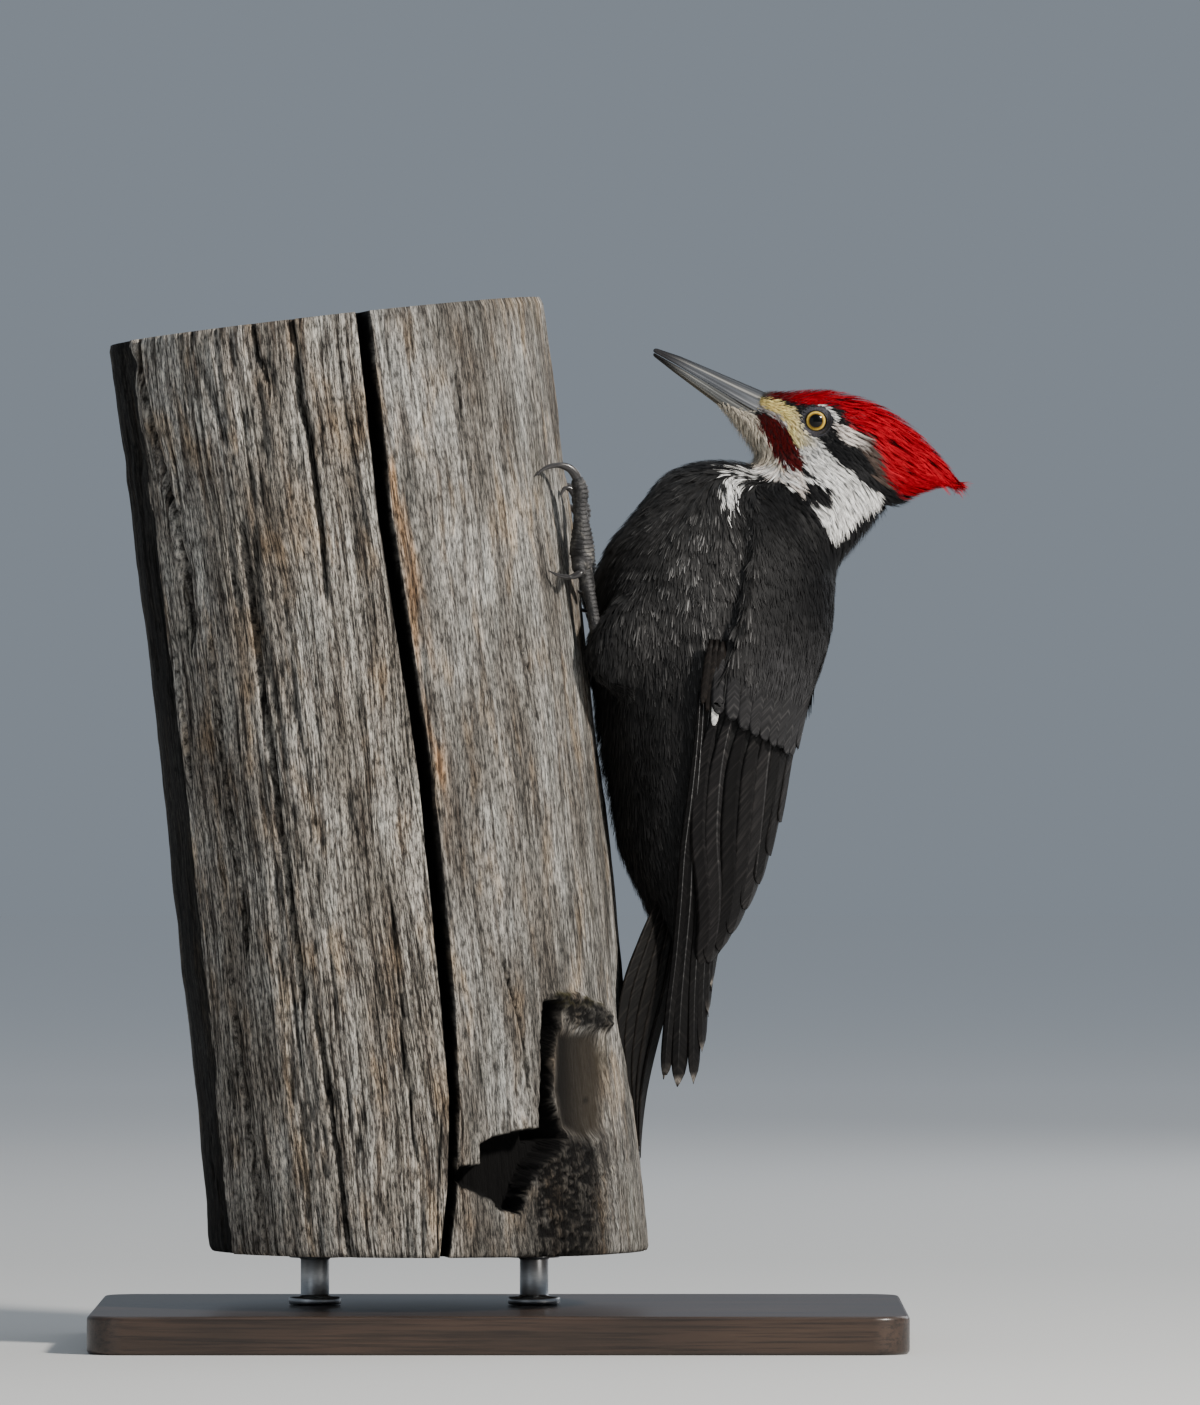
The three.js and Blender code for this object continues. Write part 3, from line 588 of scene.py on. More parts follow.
def scarRelief(x, y, near):
    ragged = 2.2 * noiseField(x / 5, y / 5, 51, 3)
    slotAt = outlineDistance(x, y, scar["slot"]) + 0.4 * ragged
    hollowAt = outlineDistance(x, y, scar["hollow"]) + ragged
    slot = smoothStep(slotAt, -0.8, 2.6) * near
    hollow = smoothStep(hollowAt, -0.5, 4) * near
    face = smoothStep(outlineDistance(x, y, scar["face"]), -4, 10) * near
    lip = smoothStep(outlineDistance(x, y, scar["lip"]) + 1.6 * ragged, -3, 5) * near
    below = np.exp(-(((x - 562) / 48) ** 2)) * smoothStep(y, 1116, 1150) * (1 - smoothStep(y, 1225, 1330)) * near
    shag = smoothStep(x, 486, 505) * (1 - smoothStep(x, 540, 545)) * smoothStep(y, 1030, 1060) * (y < 1130) * near
    crumbs = noiseField(x / 5.5, y / 4.5, 61, 3, 0.7)
    grit = noiseField(x / 4, y / 4, 71, 3, 0.7)
    open_ = np.maximum(slot, hollow)
    lift = -13 * mm * slot - 14 * mm * hollow
    lift += -3.2 * mm * face * (1 - slot)
    lift += lip * (2.4 * mm + 3.0 * mm * grit) * (1 - open_)
    lift += below * (3.0 * mm + 2.6 * mm * crumbs) * (1 - open_)
    lift += shag * (0.6 * mm + 1.5 * mm * noiseField(x / 3.2, y / 14, 73, 3)) * (1 - open_)
    # painted shade: the slot and the hollow are painted black
    dark = np.maximum(smoothStep(slotAt, -2.2, 0.5) * near, smoothStep(hollowAt, -2.2, 0.5) * near)
    dark = np.maximum(dark, lip * (0.80 + 0.19 * smoothStep(-grit, -0.25, 0.15)))
    dark = np.maximum(dark, np.minimum(1, 1.3 * below) * (0.83 + 0.16 * smoothStep(-crumbs, -0.25, 0.1)))
    # painted shade: the worn face is painted darker on its left, next to the slot, and paler to the right
    dark = np.maximum(dark, face * (0.93 - 0.68 * smoothStep(x, 562, 604)))
    # painted shade: a small pit in the worn face is painted as a dark spot, with no dent made
    dimple = np.exp(-((np.hypot(x - 592, y - 1100) / 5) ** 2)) * near
    dark = np.maximum(dark, 0.8 * dimple)
    moss = lip * (1 - smoothStep(y, 1002, 1014)) * smoothStep(noiseField(x / 9, y / 7, 77, 2), -0.1, 0.3)
    return lift, dark, face * (1 - slot), moss, below


def woodMaterial():
    made, tree = newMaterial("weatheredWood", rough=0.92, Specular_IOR_Level=0.2)
    grain = uvCoords(tree, "grain")
    tone = paintOf(tree, "tone")
    parts = addNode(tree, "ShaderNodeSeparateColor")
    tree.links.new(tone, parts.inputs["Color"])
    dark, warm, moss = (parts.outputs[k] for k in ("Red", "Green", "Blue"))
    zone = paintOf(tree, "zone")
    zoneParts = addNode(tree, "ShaderNodeSeparateColor")
    tree.links.new(zone, zoneParts.inputs["Color"])
    smoothFace, endGrain, wornFace = (zoneParts.outputs[k] for k in ("Red", "Green", "Blue"))
    patch = stretchedNoise(tree, grain, (42, 11, 1), 4, 0.62)
    strand = stretchedNoise(tree, grain, (520, 20, 1), 5, 0.66)
    fleck = stretchedNoise(tree, grain, (1250, 210, 1), 4, 0.72)
    gap = stretchedNoise(tree, grain, (230, 6.5, 1), 3, 0.55)
    tint = stretchedNoise(tree, grain, (90, 22, 1), 3, 0.6)
    rough = rampOf(tree, patch, [(0.32, (0.155, 0.132, 0.110)), (0.50, (0.265, 0.240, 0.212)), (0.66, (0.43, 0.405, 0.372))])
    silver = rampOf(tree, patch, [(0.36, (0.085, 0.076, 0.067)), (0.50, (0.165, 0.155, 0.142)), (0.64, (0.28, 0.27, 0.255))])
    base = mixOf(tree, smoothFace, rough, silver)
    hue = rampOf(tree, tint, [(0.36, (0.96, 1.0, 1.02)), (0.54, (1, 1, 1)), (0.68, (1.14, 0.97, 0.78))])
    base = mixOf(tree, 0.9, base, hue, "MULTIPLY")
    lines = rampOf(tree, strand, [(0.40, (0.30, 0.28, 0.27)), (0.48, (0.88, 0.88, 0.88)), (0.60, (1.45, 1.45, 1.43))])
    softer = mixOf(tree, 0.8, (1, 1, 1), lines)
    base = mixOf(tree, 1.0, base, mixOf(tree, smoothFace, lines, softer), "MULTIPLY")
    chips = rampOf(tree, fleck, [(0.40, (0.22, 0.21, 0.20)), (0.48, (0.80, 0.80, 0.80)), (0.58, (1.75, 1.72, 1.66))])
    softer = mixOf(tree, 0.9, (1, 1, 1), chips)
    base = mixOf(tree, 1.0, base, mixOf(tree, smoothFace, chips, softer), "MULTIPLY")
    long_ = rampOf(tree, gap, [(0.475, (1, 1, 1)), (0.495, (0.16, 0.15, 0.14)), (0.502, (0.16, 0.15, 0.14)), (0.522, (1, 1, 1))])
    shown = mixOf(tree, smoothFace, (0.95, 0.95, 0.95), (0.45, 0.45, 0.45))
    base = mixOf(tree, 1.0, base, mixOf(tree, shown, (1, 1, 1), long_), "MULTIPLY")
    base = mixOf(tree, warm, base, mixOf(tree, 1.0, base, (1.35, 0.90, 0.56), "MULTIPLY"))
    base = mixOf(tree, wornFace, base, mixOf(tree, 0.93, base, (0.036, 0.028, 0.019)))
    base = mixOf(tree, moss, base, (0.085, 0.072, 0.012))
    rings = rampOf(tree, stretchedNoise(tree, grain, (30, 1400, 1), 2), [(0.4, (0.20, 0.155, 0.11)), (0.6, (0.40, 0.34, 0.26))])
    base = mixOf(tree, endGrain, base, rings)
    # the tone's red channel paints the wood near black: painted shade in the splits, checks, open crack, slot, hollow,
    # pit, worn face and the band left of the ledge; the scar's dark lip and crumbly wood are the wood's own; the front
    # right is darker in patches low down
    base = mixOf(tree, dark, base, (0.0022, 0.0019, 0.0018))
    tree.links.new(base, shaderOf(tree).inputs["Base Color"])
    height = mixOf(tree, 0.55, strand, fleck)
    height = mixOf(tree, smoothFace, height, mixOf(tree, 0.62, height, (0.5, 0.5, 0.5)))
    addBump(tree, height, 1.0, 0.0030)
    return made


def makeTrunk():
    columns, rows, cap = trunk["columns"], trunk["rows"], trunk["capRows"]
    total = rows + 2 * cap
    bm = bmesh.new()
    bmesh.ops.create_grid(bm, x_segments=columns, y_segments=total, size=0.5)
    place = np.array([v.co[:] for v in bm.verts])
    column = np.rint((place[:, 0] + 0.5) * columns).astype(int)
    row = np.rint((place[:, 1] + 0.5) * total).astype(int)
    angle = trunkColumns()[column] + trunk["seam"] - 360 * (trunkColumns()[column] + trunk["seam"] > 360)
    # the columns near the open crack bend with it
    share = trunkRows()[np.clip(row - cap, 0, rows)]
    z = trunk["bottom"] + share * (trunk["top"] - trunk["bottom"])
    zs, angles = checkPath(mainCrack)
    bend = np.interp(z, zs, angles) - 281.5
    angle = angle + bend * np.exp(-(((angle - 281.5) / 9) ** 2))
    lift, dark, warm = trunkRelief(angle, z)
    near = smoothStep(angle, 200, 215)
    x, y = toSide(
        np.stack([trunkAxis(z) + trunk["radius"] * np.cos(np.radians(angle)), z * 0, z], axis=-1)
    )
    scarLift, scarDark, worn, moss, crumbly = scarRelief(x, y, near)
    lift = lift * (1 - 0.8 * worn) + scarLift
    dark = np.maximum(dark * (1 - 0.7 * worn), scarDark)
    # the saw cuts
    inward = np.where(row < cap, (cap - row) / cap, np.where(row > cap + rows, (row - cap - rows) / cap, 0.0))
    isCap = inward > 0
    atTop = row > cap
    radius = trunk["radius"] - trunk["taper"] * share
    rimmed = np.clip(1 - inward, 0, 1)
    rounding = 0.9 * mm * (1 - smoothStep(np.minimum(share, 1 - share) * (trunk["top"] - trunk["bottom"]), 0, 1.6 * mm))
    reach = (radius + np.where(isCap, lift * rimmed**6, lift) - rounding) * rimmed
    px = reach * np.cos(np.radians(angle))
    py = reach * np.sin(np.radians(angle))
    radial = np.abs(noiseField(np.radians(angle) * 9, reach * 0, 83, 2))
    checks = smoothStep(1 - radial, 0.93, 0.99) * smoothStep(rimmed, 0.25, 0.8)
    saw = 0.25 * mm * noiseField(px / 0.0035, py / 0.05, 87, 2) - 2.2 * mm * checks
    pz = z + trunk["topSlope"] * share * px + np.where(isCap & atTop, saw, 0)
    points = np.stack([trunkAxis(z) + px, py, pz], axis=-1)
    for v, co in zip(bm.verts, points):
        v.co = co
    mesh = bpy.data.meshes.new("perchTrunk")
    bm.to_mesh(mesh)
    bm.free()
    # painted shade: the checks in the saw cuts are painted dark
    dark = np.where(isCap, np.maximum(0.85 * checks, dark * rimmed**10), dark)
    # the front right is darker in patches towards the bottom
    darkerLowRight = 0.42 * smoothStep(noiseField(angle / 3.5, z / 0.03, 95, 3, 0.6), -0.05, 0.30)
    darkerLowRight = darkerLowRight * smoothStep(-z, -0.27, -0.17) * smoothStep(angle, 308, 322)
    dark = np.maximum(dark, darkerLowRight)
    algae = 0.35 * smoothStep(angle, 318, 345) * smoothStep(noiseField(angle / 9, z / 0.03, 91), 0.1, 0.6)
    paintMesh(mesh, "tone", np.stack([dark, np.where(isCap, 0, warm), np.maximum(moss, 0.3 * algae)], axis=-1))
    flat = smoothStep(angle, 282.5, 285.5) * (1 - smoothStep(angle, 350, 362)) * (1 - crumbly)
    paintMesh(mesh, "zone", np.stack([0.9 * flat, isCap * 1.0, worn], axis=-1))
    arc = np.radians(angle) * trunk["radius"]
    grain = np.stack([np.where(isCap, np.radians(angle) * 0.1, arc + 0.004 * noiseField(arc / 0.05, z / 0.1, 3)), np.where(isCap, reach, z)], axis=-1)
    setUv(mesh, "grain", grain)
    bm = bmesh.new()
    bm.from_mesh(mesh)
    bmesh.ops.remove_doubles(bm, verts=bm.verts, dist=0.02 * mm)
    bmesh.ops.recalc_face_normals(bm, faces=bm.faces)
    bm.to_mesh(mesh)
    bm.free()
    return finishPiece("perchTrunk", mesh, woodMaterial(), ["perch_trunk"])


# --- the body under the coat ---------------------------------------------------------------

flesh = {
    "nodes": ["torso", "neck", "head", "crest", "thigh_left", "thigh_right", "wing_left", "wing_right"],
    "swell": 0.5 * mm,
    "voxel": 1.25 * mm,
    "rounds": 9,
    "bodyRounds": 60,
    "wingEnd": 266 * mm,
}
eyeBall = {"back": 17.7, "up": 2.6, "out": 10.2, "radius": 6.0}
headFrame = {"x": 115.5, "z": 392.7, "pitch": 27}


def headPoint(back, up, out=0.0):
    # a point in the head's own frame, in mm: back along its axis, up square to it, out to the side
    turn = math.radians(headFrame["pitch"])
    x = headFrame["x"] + back * math.cos(turn) + up * math.sin(turn)
    z = headFrame["z"] - back * math.sin(turn) + up * math.cos(turn)
    return np.array([x, out, z]) * mm


def makeEnvelope():
    # the outline of the coat: all the flesh as one smooth closed surface
    bm = bmesh.new()
    for node in flesh["nodes"]:
        part = bmesh.new()
        part.from_mesh(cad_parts[node].data)
        bmesh.ops.remove_doubles(part, verts=part.verts, dist=0.01 * mm)
        if node.startswith("wing"):
            everything = part.verts[:] + part.edges[:] + part.faces[:]
            low = (0, 0, flesh["wingEnd"])
            cut = bmesh.ops.bisect_plane(part, geom=everything, plane_co=low, plane_no=(0, 0, 1), clear_inner=True)
            rim = [g for g in cut["geom_cut"] if isinstance(g, bmesh.types.BMEdge)]
            bmesh.ops.holes_fill(part, edges=rim)
        part.normal_update()
        for v in part.verts:
            v.co += v.normal * flesh["swell"]
        copy = bpy.data.meshes.new("part")
        part.to_mesh(copy)
        part.free()
        bm.from_mesh(copy)
    mesh = bpy.data.meshes.new("envelope")
    bm.to_mesh(mesh)
    bm.free()
    holder = bpy.data.objects.new("envelope", mesh)
    bpy.context.scene.collection.objects.link(holder)
    shell = holder.modifiers.new("shell", "REMESH")
    shell.mode = "VOXEL"
    shell.voxel_size = flesh["voxel"]
    soften = holder.modifiers.new("soften", "SMOOTH")
    soften.factor = 0.5
    soften.iterations = flesh["rounds"]
    done = holder.evaluated_get(bpy.context.evaluated_depsgraph_get())
    made = bpy.data.meshes.new_from_object(done)
    # the trunk of the body is smoothed further than the head and the wing tips
    holder.modifiers.clear()
    holder.data = made
    group = holder.vertex_groups.new(name="body")
    x, y = toSide(vertexArray(made))
    soft = smoothStep(y, 470, 540) * (1 - smoothStep(y, 690, 740) * smoothStep(x, 690, 706))
    for i in np.nonzero(soft > 0.02)[0]:
        group.add([int(i)], float(soft[i]), "REPLACE")
    more = holder.modifiers.new("more", "SMOOTH")
    more.factor = 0.5
    more.iterations = flesh["bodyRounds"]
    more.vertex_group = "body"
    done = holder.evaluated_get(bpy.context.evaluated_depsgraph_get())
    made = bpy.data.meshes.new_from_object(done)
    bpy.data.objects.remove(holder)
    bm = bmesh.new()
    bm.from_mesh(made)
    bm.normal_update()
    for v in bm.verts:
        v.co -= v.normal * flesh["swell"] * 0.7
    # keep the biggest closed shell only
    islands = []
    left = set(bm.verts)
    while left:
        stack = [left.pop()]
        island = list(stack)
        while stack:
            for e in stack.pop().link_edges:
                for other in e.verts:
                    if other in left:
                        left.remove(other)
                        stack.append(other)
                        island.append(other)
        islands.append(island)
    islands.sort(key=len)
    for island in islands[:-1]:
        bmesh.ops.delete(bm, geom=island, context="VERTS")
    bm.normal_update()
    bm.to_mesh(made)
    bm.free()
    return made


# The lie and the make of the coat at places on the side view:
# x, y, lie to the right, lie down, length, width, depth and spacing in mm
coatGuides = [
    (742, 395, 1.0, 0.55, 3.2, 0.8, 0.7, 1.15),
    (765, 401, 1.0, 0.5, 4.0, 0.9, 0.9, 1.2),
    (785, 394, 1.0, 0.12, 4.5, 1.1, 1.2, 1.4),
    (794, 412, 0.8, 0.6, 2.8, 0.8, 0.7, 1.1),
    (815, 401, 1.0, 0.1, 3.2, 1.0, 0.7, 1.2),
    (817, 437, 0.85, 0.5, 3.4, 1.0, 0.8, 1.25),
    (838, 416, 0.85, 0.5, 3.2, 1.0, 0.8, 1.2),
    (812, 392, 1.0, 0.08, 7.5, 1.5, 1.8, 1.8),
    (845, 394, 0.95, 0.25, 11, 1.8, 2.6, 2.1),
    (870, 408, 0.85, 0.5, 14, 2.0, 3.2, 2.3),
    (900, 430, 0.80, 0.6, 17, 2.2, 3.6, 2.5),
    (930, 458, 0.76, 0.64, 17, 2.2, 3.2, 2.4),
    (955, 480, 0.80, 0.60, 12, 1.7, 1.8, 2.0),
    (860, 430, 0.85, 0.5, 10, 1.7, 2.0, 2.0),
    (885, 460, 0.88, 0.45, 14, 2.0, 2.8, 2.3),
    (915, 482, 0.93, 0.3, 14, 2.0, 2.6, 2.3),
    (848, 447, 0.8, 0.6, 6.0, 1.4, 1.4, 1.7),
    (866, 470, 0.78, 0.65, 8.0, 1.6, 1.8, 1.9),
    (893, 503, 0.76, 0.62, 8.5, 1.5, 2.0, 1.9),
    (882, 517, 0.5, 0.85, 8.5, 1.4, 2.2, 1.8),
    (855, 545, 0.05, 1.0, 10, 1.7, 2.6, 2.1),
    (775, 432, 0.5, 0.87, 4.2, 1.1, 1.1, 1.35),
    (794, 460, 0.6, 0.8, 5.0, 1.2, 1.3, 1.5),
    (800, 440, 0.6, 0.8, 4.2, 1.1, 1.1, 1.35),
    (830, 468, 0.7, 0.7, 6.5, 1.5, 1.7, 1.8),
    (850, 498, 0.5, 0.85, 8.5, 1.5, 2.1, 1.85),
    (838, 528, 0.38, 0.92, 8.5, 1.5, 2.3, 1.85),
    (812, 498, 0.6, 0.8, 6.5, 1.6, 1.7, 1.9),
    (722, 405, 0.35, 0.9, 4.6, 0.9, 1.1, 1.3),
    (740, 432, 0.30, 0.95, 5.5, 1.0, 1.4, 1.4),
    (757, 452, 0.30, 0.95, 6.0, 1.3, 1.7, 1.6),
    (783, 476, 0.75, 0.66, 8.0, 1.7, 2.0, 1.9),
    (727, 464, -1.0, 0.15, 11, 5.5, 2.0, 3.2),
    (680, 474, -0.85, 0.5, 12, 8.5, 2.2, 3.5),
    (640, 508, -0.6, 0.8, 12, 9.0, 2.2, 3.7),
    (612, 545, -0.4, 0.9, 12, 9.5, 2.4, 3.9),
    (595, 600, 0.0, 1.0, 13, 10.0, 2.4, 4.1),
    (728, 484, 0.10, 1.0, 10, 1.6, 1.6, 1.75),
    (748, 467, -0.85, 0.35, 7, 1.3, 1.4, 1.7),
    (770, 472, -0.6, 0.5, 5.5, 1.2, 1.3, 1.6),
    (730, 506, 0.15, 1.0, 11, 2.4, 1.8, 2.1),
    (742, 515, 0.25, 0.97, 12, 6.0, 2.0, 3.3),
    (700, 530, -0.05, 1.0, 12, 9.0, 2.2, 3.7),
    (735, 570, 0.15, 1.0, 12, 8.5, 1.8, 3.6),
    (680, 620, 0.0, 1.0, 13, 10.0, 2.4, 4.0),
    (722, 640, 0.05, 1.0, 13, 9.0, 1.8, 3.8),
    (640, 680, 0.05, 1.0, 14, 10.0, 2.4, 4.2),
    (640, 780, 0.15, 1.0, 14, 10.0, 2.6, 4.2),
    (655, 860, 0.2, 1.0, 14, 8.5, 2.6, 4.0),
    (660, 915, 0.0, 1.0, 14, 7.0, 2.2, 3.8),
    (690, 900, -0.1, 1.0, 14, 7.0, 2.2, 4.0),
    (770, 500, 0.3, 0.95, 9, 6.0, 1.2, 2.7),
    (765, 560, 0.1, 1.0, 11, 8.5, 1.2, 3.2),
    (760, 640, 0.0, 1.0, 14, 10.0, 1.3, 3.8),
    (800, 530, 0.4, 0.92, 10, 7.5, 1.2, 2.9),
    (808, 590, 0.1, 1.0, 14, 10.0, 1.4, 3.8),
    (800, 660, -0.15, 1.0, 17, 11.0, 1.5, 4.4),
    (832, 570, 0.0, 1.0, 12, 8.5, 1.8, 3.6),
    (825, 640, -0.1, 1.0, 16, 10.0, 1.8, 4.2),
    (800, 720, -0.2, 1.0, 17, 10.0, 1.8, 4.4),
    (740, 850, -0.3, 1.0, 15, 8.0, 2.4, 4.4),
]


def guidesAt(x, y):
    # lie (right, down), length, width, depth, spacing, blended from the nearest guides
    table = np.array(coatGuides)
    gap = (x[:, None] - table[:, 0]) ** 2 + (y[:, None] - table[:, 1]) ** 2
    weight = 1 / (gap + 30) ** 2
    weight /= weight.sum(axis=1, keepdims=True)
    return weight @ table[:, 2:]


def lieAt(points, normals):
    x, y = toSide(points)
    made = guidesAt(x, y)
    lie = np.stack([made[:, 0], np.zeros(len(points)), -made[:, 1]], axis=-1)
    lie -= (lie * normals).sum(axis=1, keepdims=True) * normals
    return unit(lie), made[:, 2:] * mm


# --- markings ------------------------------------------------------------------------------

tones = {
    "black": (0.0060, 0.0060, 0.0068),
    "body": (0.0100, 0.0097, 0.0098),
    "shoulder": (0.0036, 0.0036, 0.0040),
    # painted sheen: the breast tone is the black painted paler where the sun falls flat
    "breast": (0.0275, 0.0267, 0.0262),
    # painted sheen: the covert tone is the black painted paler where the wing catches the light
    "covert": (0.0270, 0.0264, 0.0275),
    "white": (0.80, 0.79, 0.765),
    "cream": (0.92, 0.73, 0.27),
    "buff": (0.64, 0.57, 0.46),
    "pink": (0.80, 0.72, 0.66),
    "red": (0.385, 0.0004, 0.0100),
    "darkRed": (0.10, 0.0006, 0.0016),
    "maroon": (0.075, 0.0006, 0.0008),
    "grey": (0.20, 0.18, 0.165),
    "gape": (0.50, 0.46, 0.44),
    "fringe": (0.060, 0.042, 0.034),
}
markings = {
    "cheek": [(738, 388), (760, 396), (776, 401), (788, 405), (794, 409), (799, 416), (802, 427), (812, 435), (820, 442), (828, 453), (838, 463), (850, 473), (862, 483), (874, 492), (884, 500), (880, 505), (868, 513), (858, 521), (849, 528), (842, 536), (836, 542), (830, 540), (822, 524), (808, 504), (796, 492), (777, 482), (760, 474), (750, 462), (763, 455), (777, 462), (790, 471), (803, 472), (797, 452), (789, 436), (784, 424), (770, 414), (738, 402)],
    "throat": [(700, 392), (745, 405), (757, 416), (765, 435), (776, 456), (786, 471), (762, 468), (750, 462), (742, 450), (730, 432), (700, 405)],
    "malar": [(756, 415), (765, 415), (777, 419), (785, 425), (789, 434), (793, 444), (799, 453), (803, 463), (800, 471), (790, 472), (780, 466), (772, 452), (765, 438), (759, 426)],
    "line": [(799, 466), (806, 470), (816, 478), (821, 484), (812, 480), (801, 474)],
    "patch": [(802, 489), (805, 483), (813, 482), (821, 488), (829, 493), (833, 502), (827, 507), (815, 509), (806, 502)],
    "red": [(768, 380), (768, 399), (784, 400), (797, 405), (815, 405), (833, 405), (841, 410), (846, 422), (853, 429), (863, 434), (871, 441), (877, 451), (879, 462), (881, 472), (886, 482), (894, 491), (900, 498), (909, 498), (923, 493), (943, 486), (957, 485), (990, 510), (990, 380)],
    "gape": [(750, 404), (757, 403), (768, 410), (777, 413), (784, 419), (789, 427), (787, 431), (781, 423), (772, 417), (762, 412)],
    "brow": [(817, 405), (826, 406), (833, 411), (838, 420), (836, 424), (831, 416), (824, 410), (817, 408)],
    "stripe": [(834, 422), (839, 424), (845, 427), (853, 430), (860, 435), (866, 442), (868, 448), (862, 450), (854, 447), (846, 443), (838, 437), (834, 430)],
    "fringe": [(860, 434), (866, 436), (874, 446), (880, 460), (884, 474), (890, 488), (884, 488), (876, 476), (868, 462), (860, 452)],
    "streak": [(723, 469), (737, 463), (752, 460), (782, 468), (798, 484), (790, 488), (778, 478), (762, 475), (752, 477), (743, 483), (738, 492), (734, 508), (722, 512), (719, 492), (727, 481), (738, 473), (727, 473)],
}


def breastShare(x, y):
    # the breast, where the sun falls flat on the feathers; its paler tone is a painted sheen
    return np.exp(-(((x - 700) / 60) ** 2 + ((y - 575) / 85) ** 2)) * (1 - smoothStep(x, 746, 768))


def covertShare(x, y):
    # the wing's coverts, where the black is painted paler as a sheen
    return smoothStep(x, 728, 760) * smoothStep(y, 600, 680)


def shoulderShare(x, y):
    return smoothStep(x, 744, 766) * (1 - smoothStep(y, 590, 660))


def markingAt(points, jitter):
    # the colour of the coat at each point; jitter (n, 2) shifts the places so that edges are ragged
    x, y = toSide(points)
    x = x + jitter[:, 0]
    y = y + jitter[:, 1]
    out = np.abs(points[:, 1])
    colour = np.tile(np.array(tones["black"]), (len(points), 1))
    isBody = (y > 470) & ~inside(x, y, [(745, 440), (990, 380), (990, 520), (905, 520), (838, 566), (800, 497)])
    base = np.tile(np.array(tones["body"]), (len(points), 1))
    # the covert and breast tones lift the black into a painted sheen
    for tone, share in (("shoulder", shoulderShare(x, y)), ("covert", covertShare(x, y)), ("breast", breastShare(x, y))):
        base += share[:, None] * (np.array(tones[tone]) - base)
    colour[isBody] = base[isBody]

    def fill(mask, tone):
        colour[mask] = tones[tone]

    neckSide = out > 4 * mm
    fill(inside(x, y, markings["cheek"]), "white")
    nearBill = inside(x, y, markings["cheek"]) & (x < 824) & (y < 448)
    blend = smoothStep(x[nearBill], 784, 822)[:, None]
    colour[nearBill] = np.array(tones["cream"]) * (1 - blend) + np.array(tones["white"]) * 0.9 * blend
    low = inside(x, y, markings["cheek"]) & (x < 803) & (y > 455)
    fill(low, "pink")
    fill(inside(x, y, markings["throat"]), "buff")
    fill(inside(x, y, markings["malar"]) & neckSide, "maroon")
    fill(inside(x, y, markings["line"]) & neckSide, "black")
    fill(inside(x, y, markings["patch"]) & neckSide, "black")
    crown = inside(x, y, markings["red"])
    fill(crown, "red")
    front = crown & (x < 806)
    blend = smoothStep(x[front], 776, 806)[:, None]
    colour[front] = np.array(tones["darkRed"]) * (1 - blend) + np.array(tones["red"]) * blend
    culmenBase = (x < 770) & (y < 396) & (x > 742)
    fill(culmenBase, "fringe")
    fill(inside(x, y, markings["gape"]) & neckSide, "gape")
    fill(inside(x - 0.8 * jitter[:, 0], y - 0.8 * jitter[:, 1], markings["brow"]), "white")
    fringe = inside(x, y, markings["fringe"]) & ~crown
    fill(fringe, "fringe")
    stripe = inside(x, y, markings["stripe"])
    blend = smoothStep(x[stripe], 842, 868)[:, None]
    colour[stripe] = np.array(tones["pink"]) * (1 - blend) + np.array(tones["grey"]) * blend
    loose = inside(x + 2.0 * jitter[:, 0], y + 2.6 * jitter[:, 1], markings["streak"])
    strands = noiseField(x / 1.8, y / 9, 97) > -0.22
    fill(loose & strands & (out > 12 * mm), "white")
    return colour


# --- feathers of the coat ------------------------------------------------------------------


def barbPattern(barbs, spread, rows=3):
    # one small feather as a fan of thin barbs, made from grid strips:
    # arrays of u (0 root to 1 tip), v (-1 to 1 across), the barb's number, and the faces
    u, v, barb, faces = [], [], [], []
    for j in range(barbs):
        share = 0.0 if barbs == 1 else 2 * j / (barbs - 1) - 1
        bm = bmesh.new()
        bmesh.ops.create_grid(bm, x_segments=1, y_segments=rows, size=0.5)
        first = len(u)
        for vert in bm.verts:
            along = vert.co.y + 0.5
            side = np.sign(vert.co.x)
            end = 1 - 0.26 * share * share
            half = spread * (1 - along**2.4) + 0.02
            u.append(along * end + 0.05 * abs(share) * (1 - along))
            v.append(share * 0.86 * along**0.62 + side * half)
            barb.append(j)
        faces += [[first + vert.index for vert in face.verts] for face in bm.faces]
        bm.free()
    return np.array(u), np.array(v), np.array(barb), np.array(faces)


patterns = {
    "hair": barbPattern(5, 0.21),
    "vane": barbPattern(17, 0.088),
}


def nearestOn(tree, normals, faces, points):
    # closest points on a surface, with its smooth normals there
    found = np.empty_like(points)
    facing = np.empty_like(points)
    for i, p in enumerate(points):
        place, normal, index, _ = tree.find_nearest(Vector(p))
        found[i] = place
        facing[i] = normals[faces[index]].mean(axis=0)
    return found, unit(facing)


